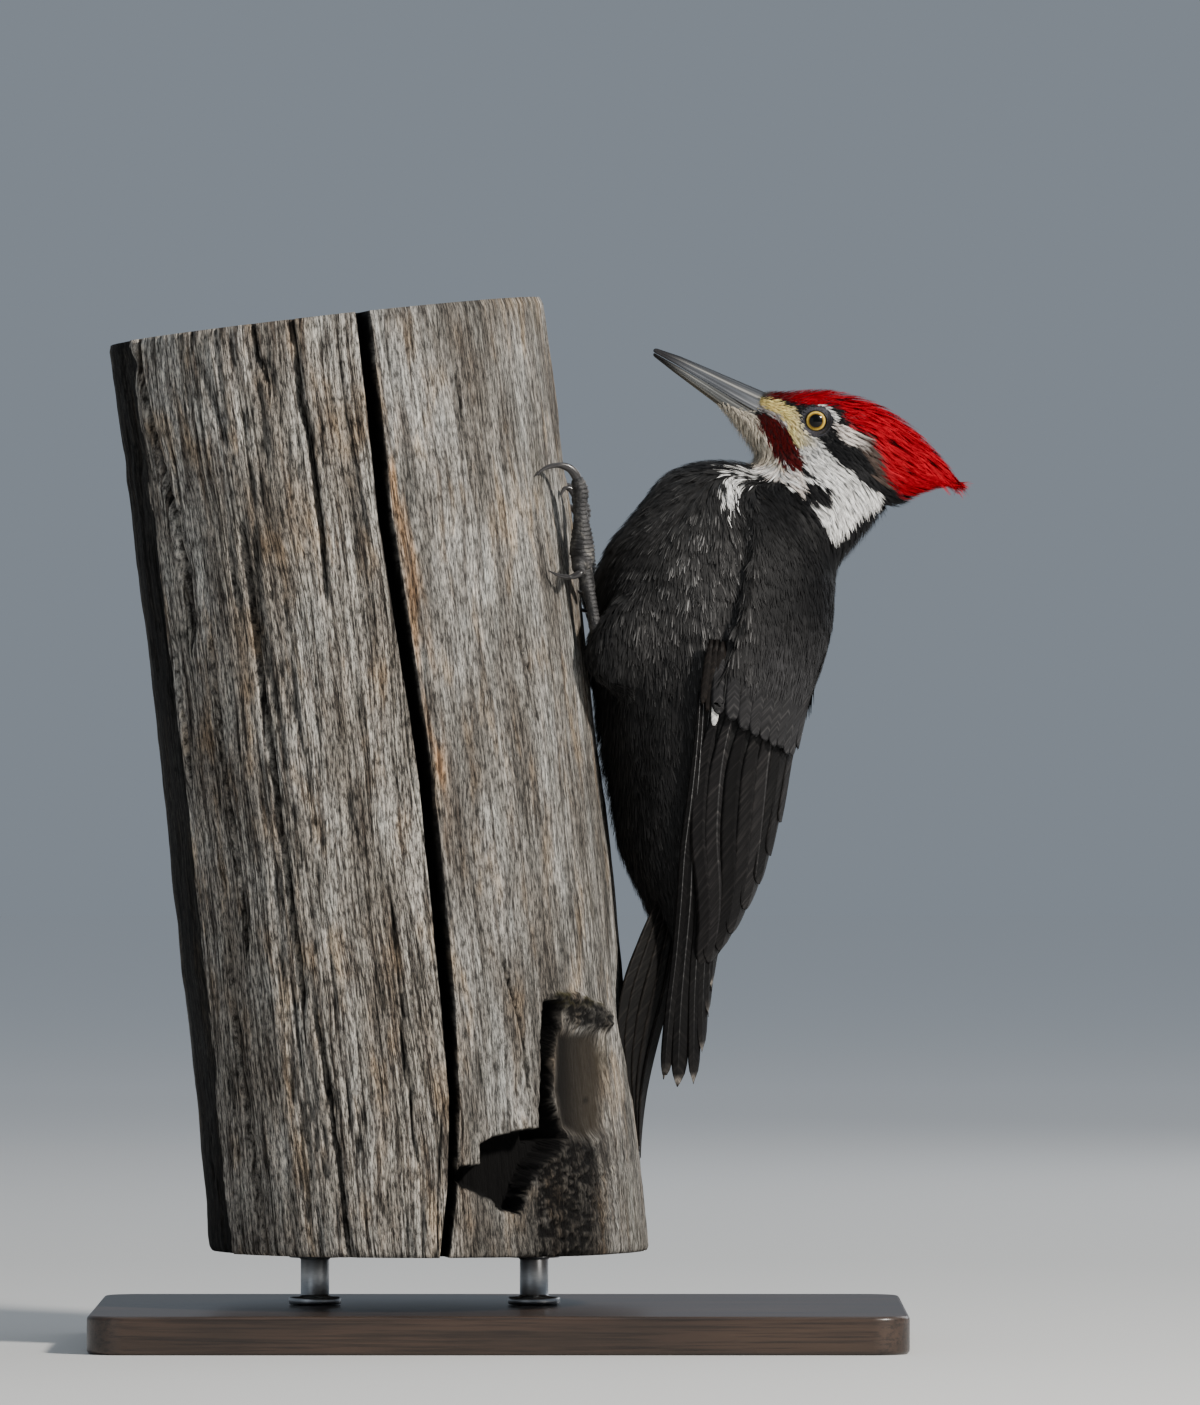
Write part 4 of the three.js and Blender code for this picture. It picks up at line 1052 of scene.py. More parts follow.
class Surface:
    # a mesh to lay feathers on
    def __init__(self, mesh):
        self.points = vertexArray(mesh)
        self.normals = normalArray(mesh)
        self.faces = [list(p.vertices) for p in mesh.polygons]
        self.tree = BVHTree.FromPolygons(self.points.tolist(), self.faces)

    def nearest(self, points):
        return nearestOn(self.tree, self.normals, self.faces, points)

    def scatter(self, spacingOf, seed, keep):
        # points spread evenly over the surface, at a spacing that varies
        rng = np.random.default_rng(seed)
        corners = self.points[np.array([f[:3] for f in self.faces])]
        area = np.linalg.norm(np.cross(corners[:, 1] - corners[:, 0], corners[:, 2] - corners[:, 0]), axis=1)
        centre = corners.mean(axis=1)
        spacing = spacingOf(centre)
        wanted = area / spacing**2
        picks = rng.choice(len(area), size=int(wanted.sum() * 5), p=wanted / wanted.sum())
        shares = rng.random((len(picks), 2))
        flip = shares.sum(axis=1) > 1
        shares[flip] = 1 - shares[flip]
        c = corners[picks]
        spots = c[:, 0] + shares[:, :1] * (c[:, 1] - c[:, 0]) + shares[:, 1:] * (c[:, 2] - c[:, 0])
        gaps = spacing[picks]
        allowed = keep(spots)
        spots, gaps = spots[allowed], gaps[allowed]
        cell = gaps.max()
        grid = {}
        chosen = []
        for i, (p, gap) in enumerate(zip(spots, gaps)):
            key = tuple((p // cell).astype(int))
            close = False
            for dx in (-1, 0, 1):
                for dy in (-1, 0, 1):
                    for dz in (-1, 0, 1):
                        for q in grid.get((key[0] + dx, key[1] + dy, key[2] + dz), ()):
                            if (q[0] - p[0]) ** 2 + (q[1] - p[1]) ** 2 + (q[2] - p[2]) ** 2 < gap * gap:
                                close = True
                                break
                        if close:
                            break
                    if close:
                        break
                if close:
                    break
            if not close:
                grid.setdefault(key, []).append(p)
                chosen.append(i)
        return spots[chosen]


def skinMap(points):
    # the skin's own unwrap: how far along the spine, and the angle round it
    spine = np.array([(0.075, 0.405), (0.13, 0.385), (0.118, 0.335), (0.09, 0.29), (0.08, 0.22), (0.073, 0.13)])
    steps = np.linalg.norm(np.diff(spine, axis=0), axis=1)
    starts = np.concatenate([[0], np.cumsum(steps)])
    side = points[:, [0, 2]]
    best = np.full(len(points), 1e9)
    along = np.zeros(len(points))
    above = np.zeros(len(points))
    for i in range(len(steps)):
        way = (spine[i + 1] - spine[i]) / steps[i]
        t = np.clip((side - spine[i]) @ way, 0, steps[i])
        off = side - spine[i] - t[:, None] * way
        gap = np.linalg.norm(off, axis=1)
        closer = gap < best
        best = np.where(closer, gap, best)
        along = np.where(closer, starts[i] + t, along)
        above = np.where(closer, off @ np.array([way[1], -way[0]]), above)
    angle = np.arctan2(points[:, 1], above)
    return np.stack([0.02 + 0.96 * along / starts[-1], 0.5 + 0.48 * angle / math.pi], axis=-1)


def bristleAt(x, y):
    # how far the tips stand off, in mm: the throat, the nape and under the crest
    throat = np.exp(-(((x - 738) / 18) ** 2 + ((y - 425) / 26) ** 2))
    nape = np.exp(-(((x - 888) / 16) ** 2 + ((y - 512) / 14) ** 2))
    hind = np.exp(-(((x - 862) / 16) ** 2 + ((y - 532) / 14) ** 2))
    flank = np.exp(-(((x - 636) / 24) ** 2 + ((y - 835) / 48) ** 2))
    belly = np.exp(-(((x - 597) / 15) ** 2 + ((y - 745) / 62) ** 2))
    return 1.3 * throat + 1.5 * nape + 1.0 * hind + 1.3 * flank + 3.0 * belly


def layFeathers(name, surface, roots, pattern, material, seed):
    # lays one small feather at each root, along the coat's lie
    rng = np.random.default_rng(seed)
    count = len(roots)
    u, v, barb, faces = patterns[pattern]
    start, n0 = surface.nearest(roots)
    lie0, make = lieAt(start, n0)
    length, width, depth = make[:, :1], make[:, 1:2], make[:, 2:3]
    length = length * rng.uniform(0.82, 1.15, (count, 1))
    width = width * rng.uniform(0.85, 1.15, (count, 1))
    swing = rng.normal(0, 0.11, (count, 1))
    lie0 = unit(lie0 + np.cross(n0, lie0) * swing)
    aim = start + lie0 * length / 2
    middle, n1 = surface.nearest(aim)
    lie1, _ = lieAt(middle, n1)
    lie1 = unit(lie1 + 0.8 * (lie0 - (lie0 * n1).sum(axis=1, keepdims=True) * n1) + np.cross(n1, lie1) * swing)
    aim = middle + lie1 * length / 2
    tip, n2 = surface.nearest(aim)
    overrun = np.linalg.norm(tip - aim, axis=1, keepdims=True) > 0.22 * length
    tip = np.where(overrun, aim, tip)
    n2 = np.where(overrun, n1, n2)
    uu = u[None, :, None]
    a, b, c = (1 - uu) * (1 - 2 * uu), 4 * uu * (1 - uu), uu * (2 * uu - 1)
    spine = start[:, None] * a + middle[:, None] * b + tip[:, None] * c
    facing = unit(n0[:, None] * (1 - uu) + n1[:, None] * 2 * uu * (1 - uu) + n2[:, None] * uu * uu)
    ahead = unit(lie0[:, None] * (1 - uu) + lie1[:, None] * uu)
    across = unit(np.cross(facing, ahead))
    barbs = barb.max() + 1
    ruffle = rng.normal(0, 1, (count, barbs))[:, barb][..., None]
    splay = rng.normal(0, 1, (count, barbs))[:, barb][..., None]
    reach = 1 + 0.10 * rng.normal(0, 1, (count, barbs))[:, barb][..., None] * uu
    out = width[:, None] / 2 * (v[None, :, None] + 0.10 * splay * uu)
    loft = bristleAt(*toSide(start))[:, None, None]
    height = -depth[:, None] * (1 - uu) ** 1.25 + 0.035 * depth[:, None] * ruffle * uu
    height += (0.2 + loft) * mm * uu**3 + 0.45 * loft * mm * ruffle * uu**2
    height += rng.normal(0, 0.045, (count, 1, 1)) * depth[:, None] * uu
    height -= 0.16 * np.abs(out) * uu  # each vane is a little roofed
    points = start[:, None] + (spine - start[:, None]) * reach + across * out + facing * height
    # each barb has the colour of the place where it lies
    lying = points.reshape(count, barbs, -1, 3).mean(axis=2).reshape(-1, 3)
    jitter = rng.uniform(-1.8, 1.8, (count, 1, 2)) + rng.uniform(-1.3, 1.3, (count, barbs, 2))
    colour = markingAt(lying, jitter.reshape(-1, 2)).reshape(count, barbs, 3)
    # pale strands: the feathers' pale tips, with a painted sheen added high on the breast where the sun falls flat;
    # they fade out on the wing and the belly
    x, y = toSide(middle)
    breast = breastShare(x, y)
    rows = 0.55 + 0.45 * np.sin(y / 3.3 + x / 21 + 1.2 * np.sin(x / 9))
    pale = 0.018 * (1 - 0.8 * shoulderShare(x, y)) + 0.06 * breast + 0.20 * breast * smoothStep(rows, 0.35, 0.9)
    shade = colourBarbs(colour, pale, u, barb, rng)
    all_ = (faces[None] + (np.arange(count) * len(u))[:, None, None]).reshape(-1, 4)
    mesh = joinedMesh(name, points.reshape(-1, 3), all_)
    paintMesh(mesh, "plumage", shade.reshape(-1, 3))
    patch = skinMap(start)[:, None] + np.stack([(u - 0.5) * 0.003, v * 0.0014], axis=-1)[None]
    setUv(mesh, "OFBake", patch.reshape(-1, 2))
    mesh.shade_smooth()
    mesh.materials.append(material)
    piece = bpy.data.objects.new(name, mesh)
    bpy.context.scene.collection.objects.link(piece)
    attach(piece, "root")
    return piece


def colourBarbs(colour, pale, u, barb, rng):
    # each barb has its own shade; a few carry a pale edge, and some red ones a painted highlight
    count, barbs = colour.shape[:2]
    colour = colour[:, barb]
    light = colour.max(axis=2, keepdims=True)
    shade = rng.lognormal(0, 0.16, (count, barbs))[:, barb][..., None] * rng.lognormal(0, 0.10, (count, 1, 1))
    made = colour * shade
    uu = u[None, :, None]
    # red: some barbs are painted orange-pink towards their tips, a painted highlight; roots are darker
    isRed = (colour[..., :1] > 0.1) & (colour[..., 1:2] < 0.05)
    redGlint = (rng.random((count, barbs)) < 0.13)[:, barb][..., None] * uu**2
    warm = np.array([0.74, 0.035, 0.040])
    made = np.where(isRed, made * (1 - 0.5 * redGlint) + warm * 0.5 * redGlint, made)
    made = np.where(isRed, made * (0.40 + 0.60 * uu), made)
    # black: the tips are a little paler, and a few barbs end in grey
    isBlack = light < 0.05
    tip = smoothStep(uu, 0.72, 1.0)
    grey = (rng.random((count, barbs)) < 0.20)[:, barb][..., None] * smoothStep(uu, 0.45, 0.9)
    level = pale[:, None, None] * rng.uniform(0.3, 1.6, (count, 1, 1))
    made = np.where(isBlack, made + level * (0.75 * grey + 0.16 * tip) * np.array([1.0, 0.97, 0.94]), made)
    # white: roots are greyer
    isPale = (light > 0.3) & ~isRed
    streak = rng.lognormal(-0.08, 0.24, (count, barbs))[:, barb][..., None]
    made = np.where(isPale, made * streak * (0.55 + 0.45 * np.minimum(uu * 1.6, 1)), made)
    return np.clip(made, 0, 1)


def plumageMaterial(name, rough, sheen, gloss=0.14):
    made, tree = newMaterial(
        name, rough=rough, Sheen_Weight=sheen, Sheen_Roughness=0.45, Specular_IOR_Level=gloss
    )
    paint = paintOf(tree, "plumage")
    fleck = stretchedNoise(tree, objectCoords(tree), (420, 420, 420), 3)
    vary = rampOf(tree, fleck, [(0.3, (0.78, 0.78, 0.78)), (0.7, (1.22, 1.22, 1.22))])
    tree.links.new(mixOf(tree, 1.0, paint, vary, "MULTIPLY"), shaderOf(tree).inputs["Base Color"])
    return made



# --- flight feathers, coverts and tail -----------------------------------------------------

# The folded wing round the body: height, middle, depth, half width, first and last angle from the spine
wingRows = [
    (365.0, 90.7, 22.0, 21.0, 42, 62),
    (360.8, 91.6, 28.5, 27.0, 32, 66),
    (354.1, 93.2, 35.5, 33.0, 25, 70),
    (343.6, 93.2, 43.3, 39.5, 20, 73),
    (328.9, 90.7, 51.5, 44.2, 17, 75),
    (312.1, 88.4, 55.4, 46.6, 15, 77),
    (295.3, 87.6, 54.4, 47.5, 13, 81),
    (278.5, 85.3, 50.5, 46.2, 11, 84),
    (261.7, 82.9, 46.8, 43.2, 9, 83),
    (244.9, 80.7, 44.4, 40.0, 7, 80),
    (228.1, 78.6, 42.9, 36.6, 6, 77),
    (211.3, 76.1, 41.0, 33.0, 6, 74),
    (194.5, 75.6, 36.6, 28.6, 8, 71),
    (177.7, 75.2, 29.0, 23.6, 12, 67),
    (167.2, 74.4, 23.6, 20.0, 18, 62),
    (158.3, 73.9, 18.6, 17.0, 28, 54),
]
primaryRows = [
    (290.0, 86.6, 49.0, 45.6),
    (276.0, 85.0, 47.4, 43.6),
    (240.0, 80.1, 42.4, 37.4),
    (207.0, 76.0, 37.6, 30.4),
    (186.0, 75.4, 30.6, 24.2),
    (165.0, 74.3, 20.8, 17.8),
    (152.0, 73.0, 19.6, 17.2),
    (141.0, 71.8, 19.2, 17.0),
    (106.0, 69.4, 18.6, 15.0),
]
# The tail's dorsal line, how far its edges bow to the trunk, and its half width
tailRows = {
    "ridge": [(77.4, 196), (77.6, 175), (75.2, 157), (71.2, 140), (66.6, 123), (62.4, 106), (60, 90), (59.2, 80.6)],
    "arch": [8, 15, 18, 18, 13.5, 7.5, 3.5, 2],
    "half": [15, 20, 24, 25.5, 22, 16, 9, 6],
}


def smoothRows(rows):
    table = np.array(rows, float)[::-1]
    heights = np.arange(table[0, 0], table[-1, 0] + 0.5, 1.0)
    made = [heights * mm]
    for k in range(1, table.shape[1]):
        values = np.interp(heights, table[:, 0], table[:, k])
        for _ in range(3):
            padded = np.pad(values, 4, mode="edge")
            padded[:4] = 2 * values[0] - values[4:0:-1]
            padded[-4:] = 2 * values[-1] - values[-2:-6:-1]
            values = np.convolve(padded, np.ones(9) / 9, mode="valid")
        made.append(values * (mm if k < 4 else 1))
    return made


wingTable = smoothRows(wingRows)
primaryTable = smoothRows(primaryRows)


def shellPlace(table, side):
    def place(z, angle, lift):
        middle, depth, half = (np.interp(z, table[0], column) for column in table[1:4])
        turn = np.radians(angle)
        x = middle + (depth + lift) * np.cos(turn)
        y = side * (half + lift) * np.sin(turn)
        return np.stack(np.broadcast_arrays(x, y, z), axis=-1)

    return place


def tailPlace(along, across, lift):
    # along runs down the tail in metres, across from -1 to 1
    ridge = np.array(tailRows["ridge"]) * mm
    steps = np.linalg.norm(np.diff(ridge, axis=0), axis=1)
    runs = np.concatenate([[0], np.cumsum(steps)])
    fit = [np.polyfit(runs, column, 5) for column in (ridge[:, 0], ridge[:, 1])]
    arch = np.polyval(np.polyfit(runs, np.array(tailRows["arch"]) * mm, 5), along)
    half = np.polyval(np.polyfit(runs, np.array(tailRows["half"]) * mm, 5), along)
    wide = np.abs(across)
    x = np.polyval(fit[0], along) - arch * wide**1.35 + lift
    return np.stack(np.broadcast_arrays(x, across * half, np.polyval(fit[1], along)), axis=-1)


def bladePattern(columns, rows):
    # a closed thin blade: s across, t along, which side is under, and its faces
    count = len(columns) - 1
    bm = bmesh.new()
    bmesh.ops.create_grid(bm, x_segments=count, y_segments=rows, size=1)
    copied = bmesh.ops.duplicate(bm, geom=bm.verts[:] + bm.edges[:] + bm.faces[:])["geom"]
    bmesh.ops.reverse_faces(bm, faces=[g for g in copied if isinstance(g, bmesh.types.BMFace)])
    for v in [g for g in copied if isinstance(g, bmesh.types.BMVert)]:
        v.co.z = 0 if v.is_boundary else -1
    bmesh.ops.remove_doubles(bm, verts=bm.verts, dist=1e-4)
    bm.verts.index_update()
    place = np.array([v.co[:] for v in bm.verts])
    faces = np.array([[v.index for v in f.verts] for f in bm.faces])
    bm.free()
    s = np.array(columns)[np.rint((place[:, 0] + 1) / 2 * count).astype(int)]
    t = 1 - (1 - (place[:, 1] + 1) / 2) ** 1.35
    return s, t, -place[:, 2], faces


blades = {
    "long": bladePattern([-1, -0.7, -0.36, -0.08, 0, 0.08, 0.36, 0.7, 1], 26),
    "short": bladePattern([-1, -0.6, -0.12, 0.12, 0.6, 1], 9),
    "bed": bladePattern(list(np.linspace(-1, 1, 25)), 60),
}
feather = {
    "thick": 0.30 * mm,
    "shaft": 0.34 * mm,
    "shaftWide": 0.55 * mm,
    "roof": 0.10,
}


def layBlade(place, shaft, half, lifts, kind="long", lead=1.0, tilt=0.0, tip=(0.82, 2.2), rng=None):
    # one feather along a shaft given in the surface's own terms; s = -1 is its outer edge
    s, t, under, faces = blades[kind]
    shaft = np.array(shaft, float)
    if rng is not None:
        t = t * (1 + rng.normal(0, 0.012))
    runs = np.linalg.norm(np.diff(place(shaft[:, 0], shaft[:, 1], 0.0), axis=0), axis=1)
    knots = np.concatenate([[0], np.cumsum(runs)]) / runs.sum()
    degree = min(len(shaft) - 1, 3)
    fits = [np.polyfit(knots, shaft[:, k], degree) for k in (0, 1)]
    a, b = (np.polyval(f, t) for f in fits)
    da, db = (np.polyval(np.polyder(f), t) for f in fits)
    at = place(a, b, 0.0)
    stepA, stepB = 0.1 * mm, 0.01
    gaugeA = np.linalg.norm(place(a + stepA, b, 0.0) - at, axis=1) / stepA
    gaugeB = np.linalg.norm(place(a, b + stepB, 0.0) - at, axis=1) / stepB
    wayA, wayB = da * gaugeA, db * gaugeB
    size = np.hypot(wayA, wayB)
    start, power = tip
    rounded = np.clip((t - start) / (1.0 - start), 0, 1) ** power
    width = half * (0.5 + 0.5 * smoothStep(t, 0, 0.3)) * np.sqrt(np.clip(1 - rounded, 0.004, 1))
    if rng is not None:
        notch = noiseField(t * 9 + rng.uniform(0, 99), np.sign(s) * 5, 3, 2)
        width = width * (1 + 0.045 * notch)
    out = width * s * np.where(s < 0, lead, 1.0)
    a = a - wayB / size * out / gaugeA
    b = b + wayA / size * out / gaugeB
    lift = lifts[0] + (lifts[1] - lifts[0]) * t - tilt * s - feather["roof"] * np.abs(out)
    lift = lift + feather["shaft"] * np.exp(-((out / feather["shaftWide"]) ** 2)) * (1 - 0.6 * t)
    points = place(a, b, lift - under * feather["thick"])
    uv = np.stack([out, t * runs.sum()], axis=-1)
    return points, uv, np.stack([s, t], axis=-1), faces


class Bundle:
    # many feathers gathered into one mesh
    def __init__(self):
        self.points, self.uv, self.tone, self.faces = [], [], [], []
        self.count = 0

    def add(self, made, tone, seed):
        points, uv, where, faces = made
        self.points.append(points)
        self.uv.append(uv + np.array([0.0, seed * 0.31]))
        self.tone.append(tone(where))
        self.faces.append(faces + self.count)
        self.count += len(points)

    def piece(self, name, material, slot, replaced=()):
        mesh = joinedMesh(name, np.concatenate(self.points), np.concatenate(self.faces))
        paintMesh(mesh, "plumage", np.concatenate(self.tone))
        setUv(mesh, "vane", np.concatenate(self.uv))
        strips = []
        for i, uv in enumerate(self.uv):
            across = (uv[:, 0] - uv[:, 0].min()) / max(np.ptp(uv[:, 0]), 1e-9)
            along = (uv[:, 1] - uv[:, 1].min()) / max(np.ptp(uv[:, 1]), 1e-9)
            lanes = math.ceil(math.sqrt(len(self.uv) * 3))
            decks = math.ceil(len(self.uv) / lanes)
            strips.append(
                np.stack(
                    [(i % lanes + 0.06 + 0.88 * across) / lanes, (i // lanes + 0.04 + 0.92 * along) / decks],
                    axis=-1,
                )
            )
        setUv(mesh, "OFBake", np.concatenate(strips))
        return finishPiece(name, mesh, material, replaced)


def vaneMaterial(name, rough, gloss):
    # barbs run out and forward from the shaft; a few part and catch the light
    made, tree = newMaterial(name, rough=rough, Specular_IOR_Level=gloss)
    parts = addNode(tree, "ShaderNodeSeparateXYZ")
    tree.links.new(uvCoords(tree, "vane"), parts.inputs["Vector"])
    side = addNode(tree, "ShaderNodeMath", operation="ABSOLUTE")
    join(tree, parts, "X", side, 0)
    slant = addNode(tree, "ShaderNodeMath", operation="MULTIPLY_ADD")
    join(tree, side, "Value", slant, 0)
    slant.inputs[1].default_value = -1.1
    join(tree, parts, "Y", slant, 2)
    place = addNode(tree, "ShaderNodeCombineXYZ")
    join(tree, slant, "Value", place, "X")
    join(tree, parts, "X", place, "Y")
    barb = stretchedNoise(tree, place.outputs["Vector"], (2600, 60, 1), 2, 0.5)
    clump = stretchedNoise(tree, place.outputs["Vector"], (420, 40, 1), 3, 0.6)
    paint = paintOf(tree, "plumage")
    fine = rampOf(tree, barb, [(0.3, (0.70, 0.70, 0.70)), (0.7, (1.3, 1.3, 1.3))])
    # painted highlight: where clumps of barbs part and catch the light they are painted up to about twice as pale
    broad = rampOf(tree, clump, [(0.36, (0.6, 0.6, 0.6)), (0.52, (1.0, 1.0, 1.0)), (0.64, (2.2, 2.15, 2.05))])
    tone = mixOf(tree, 1.0, mixOf(tree, 1.0, paint, fine, "MULTIPLY"), broad, "MULTIPLY")
    tree.links.new(tone, shaderOf(tree).inputs["Base Color"])
    addBump(tree, mixOf(tree, 0.35, barb, clump), 0.5, 0.0005)
    return made


def edgedTone(base, edge, tip=None, shine=0.0):
    # darker along the shaft side, paler at the rim, and the tip its own colour
    base, edge = np.array(base), np.array(edge)

    def tone(where):
        s, t = np.abs(where[:, 0]), where[:, 1]
        rim = np.maximum(smoothStep(s, 0.72, 1.0), smoothStep(t, 0.90, 1.0))[:, None] * 0.8
        colour = base * (1 - rim) + edge * rim
        quill = (s < 0.05)[:, None]
        # painted highlight: the shaft is painted paler by shine, most near its root
        colour = np.where(quill, base * 1.1 + 0.05 * (1 - t[:, None]) * shine, colour)
        if tip is not None:
            worn = 0.8 * smoothStep(t, 0.975, 0.998)[:, None]
            colour = colour * (1 - worn) + np.array(tip) * worn
        return colour

    return tone


quills = {
    # shafts as (height on the side view, angle from the spine), then half width in mm
    "primaries": [
        ([(692, 91), (850, 88), (950, 90), (1076, 93)], 3.4),
        ([(692, 89), (850, 83), (950, 80), (1083, 75)], 4.9),
        ([(692, 85), (850, 77), (950, 66), (1080, 51)], 4.6),
        ([(700, 80), (850, 71), (950, 54), (1049, 38)], 5.0),
        ([(700, 76), (850, 65), (945, 46), (1012, 29)], 5.0),
        ([(700, 72), (850, 59), (985, 27)], 5.2),
    ],
    "secondaries": [
        ([(705, 79), (850, 76), (967, 50)], 6.4),
        ([(705, 71), (850, 67), (962, 42)], 7.0),
        ([(708, 62), (845, 56), (950, 34)], 7.4),
        ([(710, 53), (834, 46), (934, 28)], 7.8),
        ([(710, 44), (820, 37), (910, 23)], 8.2),
        ([(706, 35), (804, 28), (884, 19)], 8.4),
        ([(700, 27), (784, 21), (856, 14.5)], 8.2),
        ([(690, 19), (762, 15), (824, 11)], 7.4),
    ],
    "greaterCoverts": [
        ([(648, 84), (714, 80)], 4.0),
        ([(646, 77), (721, 72)], 4.6),
        ([(650, 69), (731, 64)], 5.0),
        ([(655, 61), (736, 57)], 5.2),
        ([(658, 54), (741, 50)], 5.4),
        ([(662, 47), (746, 43)], 5.6),
        ([(664, 40), (750, 36)], 5.8),
        ([(666, 33), (755, 29)], 6.0),
        ([(664, 26), (757, 22)], 6.2),
        ([(660, 19), (750, 15)], 6.2),
    ],
    "primaryCoverts": [
        ([(640, 89), (704, 89)], 2.6),
        ([(640, 86.5), (712, 86)], 2.8),
        ([(642, 84), (716, 83)], 3.0),
    ],
}


def heightOf(y):
    return (sheet["y"] - y) * sheet["unit"]


def bodyAngle(table, points):
    # height and angle from the spine of points near the wing's shell
    middle = np.interp(points[:, 2], table[0], table[1])
    depth = np.interp(points[:, 2], table[0], table[2])
    half = np.interp(points[:, 2], table[0], table[3])
    return np.degrees(np.arctan2(np.abs(points[:, 1]) / half, (points[:, 0] - middle) / depth))


def makeWing(side, name, material, soft):
    rng = np.random.default_rng(31 if side < 0 else 37)
    wing = shellPlace(wingTable, side)
    hand = shellPlace(primaryTable, side)
    flight = Bundle()

    def quillPoints(shaft):
        return [(heightOf(y), angle) for y, angle in shaft]

    dark = (0.0080, 0.0074, 0.0076)
    rim = (0.0125, 0.0115, 0.0112)
    for i, (shaft, half) in enumerate(quills["primaries"]):
        made = layBlade(
            hand, quillPoints(shaft), half * mm, (-0.4 * mm * i - 0.2 * mm, -0.35 * mm * i + 0.1 * mm),
            lead=0.6, tilt=0.28 * mm, tip=(0.93, 1.9), rng=rng,
        )
        flight.add(made, edgedTone(np.array(dark) * 0.55, (0.008, 0.007, 0.0068), (0.15, 0.135, 0.12), shine=3.0), i)
    count = len(quills["secondaries"])
    for i, (shaft, half) in enumerate(quills["secondaries"]):
        brown = 1 + 0.5 * math.sin(i * 2.1)
        made = layBlade(
            wing, quillPoints(shaft), half * mm, (-2.4 * mm, -0.7 * mm + 0.6 * mm * i / count),
            lead=0.85, tilt=0.42 * mm, tip=(0.88, 2.2), rng=rng,
        )
        flight.add(made, edgedTone(np.array(dark) * brown, rim, shine=0.9 * (i in (1, 4, 7))), 20 + i)
    flight.piece(f"flight{name}", material, "black_plumage", [f"primaries_{name.lower()}"])

    cover = Bundle()
    # the coverts' black, painted paler as a sheen
    blackWithSheen = (0.0215, 0.0210, 0.0220)
    for i, (shaft, half) in enumerate(quills["greaterCoverts"]):
        made = layBlade(
            wing, quillPoints(shaft), half * mm, (-1.8 * mm, 0.45 * mm),
            kind="short", lead=0.9, tilt=0.3 * mm, tip=(0.72, 2.2), rng=rng,
        )
        cover.add(made, edgedTone(blackWithSheen, (0.0260, 0.0254, 0.0266)), i)
    for i, (shaft, half) in enumerate(quills["primaryCoverts"]):
        made = layBlade(
            wing, quillPoints(shaft), half * mm, (-1.4 * mm, -0.2 * mm - 0.3 * mm * i),
            kind="short", lead=0.7, tilt=0.2 * mm, tip=(0.55, 2.0), rng=rng,
        )
        cover.add(made, edgedTone((0.0085, 0.0068, 0.0060), (0.020, 0.0155, 0.013)), 20 + i)
    white = layBlade(
        wing, [(heightOf(690), 82.5), (heightOf(726), 81.5)], 1.7 * mm, (-1.2 * mm, 0.5 * mm),
        kind="short", tip=(0.6, 2.0), rng=rng,
    )
    cover.add(white, edgedTone((0.66, 0.65, 0.62), (0.66, 0.65, 0.62)), 30)
    cover.piece(f"coverts{name}", soft, "black_plumage")

    # a dark bed that closes the wing underneath
    s, t, under, faces = blades["bed"]
    z = wingTable[0][0] + 3 * mm + (1 - t) * (wingTable[0][-1] - wingTable[0][0] - 6 * mm)
    first = np.interp(z, wingTable[0], wingTable[4]) + 1.5
    last = np.interp(z, wingTable[0], wingTable[5]) - 2.5
    angle = (first + last) / 2 - s * (last - first) / 2
    points = wing(z, angle, -2.4 * mm - under * 1.4 * mm)
    mesh = joinedMesh(f"wingBed{name}", points, faces)
    paintMesh(mesh, "plumage", np.tile([0.008, 0.008, 0.008], (len(points), 1)))
    setUv(mesh, "vane", np.stack([s * 0.02, t * 0.2], axis=-1))
    finishPiece(f"wingBed{name}", mesh, soft)


def makeTail(material):
    rng = np.random.default_rng(41)
    bundle = Bundle()
    lengths = [119, 114, 107, 97, 83]
    spread = [0.13, 0.34, 0.54, 0.73, 0.88]
    for k in reversed(range(5)):
        for side in (-1, 1):
            out = spread[k] * side
            end = lengths[k] * mm
            shaft = [(0.0, out * 0.5), (end * 0.45, out * 0.95), (end * 0.8, out), (end, out * (0.55 if k == 0 else 0.9))]
            made = layBlade(
                lambda a, b, lift, side=side: tailPlace(a, b * side, lift),
                [(a, b * side) for a, b in shaft],
                (6.4 - 0.35 * k) * mm,
                (-0.9 * mm * k - 0.8 * mm, -0.55 * mm * k),
                lead=0.9, tilt=-0.25 * mm, tip=(0.72, 1.25), rng=rng,
            )
            bundle.add(made, edgedTone((0.0070, 0.0064, 0.0060), (0.016, 0.013, 0.011), (0.05, 0.04, 0.03)), k * 2 + (side > 0))
    bundle.piece("tailFeathers", material, "black_plumage", ["tail"])



# --- bill, eyes, lids, feet and claws ------------------------------------------------------


def wrapGrid(name, columns, rows, place, paint=None, uv=None, merge=0.003 * mm):
    # a grid rolled into a closed form; place(turn, run) gives its points
    bm = bmesh.new()
    bmesh.ops.create_grid(bm, x_segments=columns, y_segments=rows, size=0.5)
    turn = np.array([v.co.x + 0.5 for v in bm.verts])
    run = np.array([v.co.y + 0.5 for v in bm.verts])
    points = place(turn, run)
    for v, co in zip(bm.verts, points):
        v.co = co
    mesh = bpy.data.meshes.new(name)
    bm.to_mesh(mesh)
    bm.free()
    if paint:
        paintMesh(mesh, "tone", paint(turn, run, points))
    if uv:
        setUv(mesh, "lie", uv(turn, run))
    bm = bmesh.new()
    bm.from_mesh(mesh)
    bmesh.ops.remove_doubles(bm, verts=bm.verts, dist=merge)
    bmesh.ops.recalc_face_normals(bm, faces=bm.faces)
    bm.to_mesh(mesh)
    bm.free()
    return mesh


def joinMeshes(name, meshes):
    bm = bmesh.new()
    for mesh in meshes:
        bm.from_mesh(mesh)
    made = bpy.data.meshes.new(name)
    bm.to_mesh(made)
    bm.free()
    return made


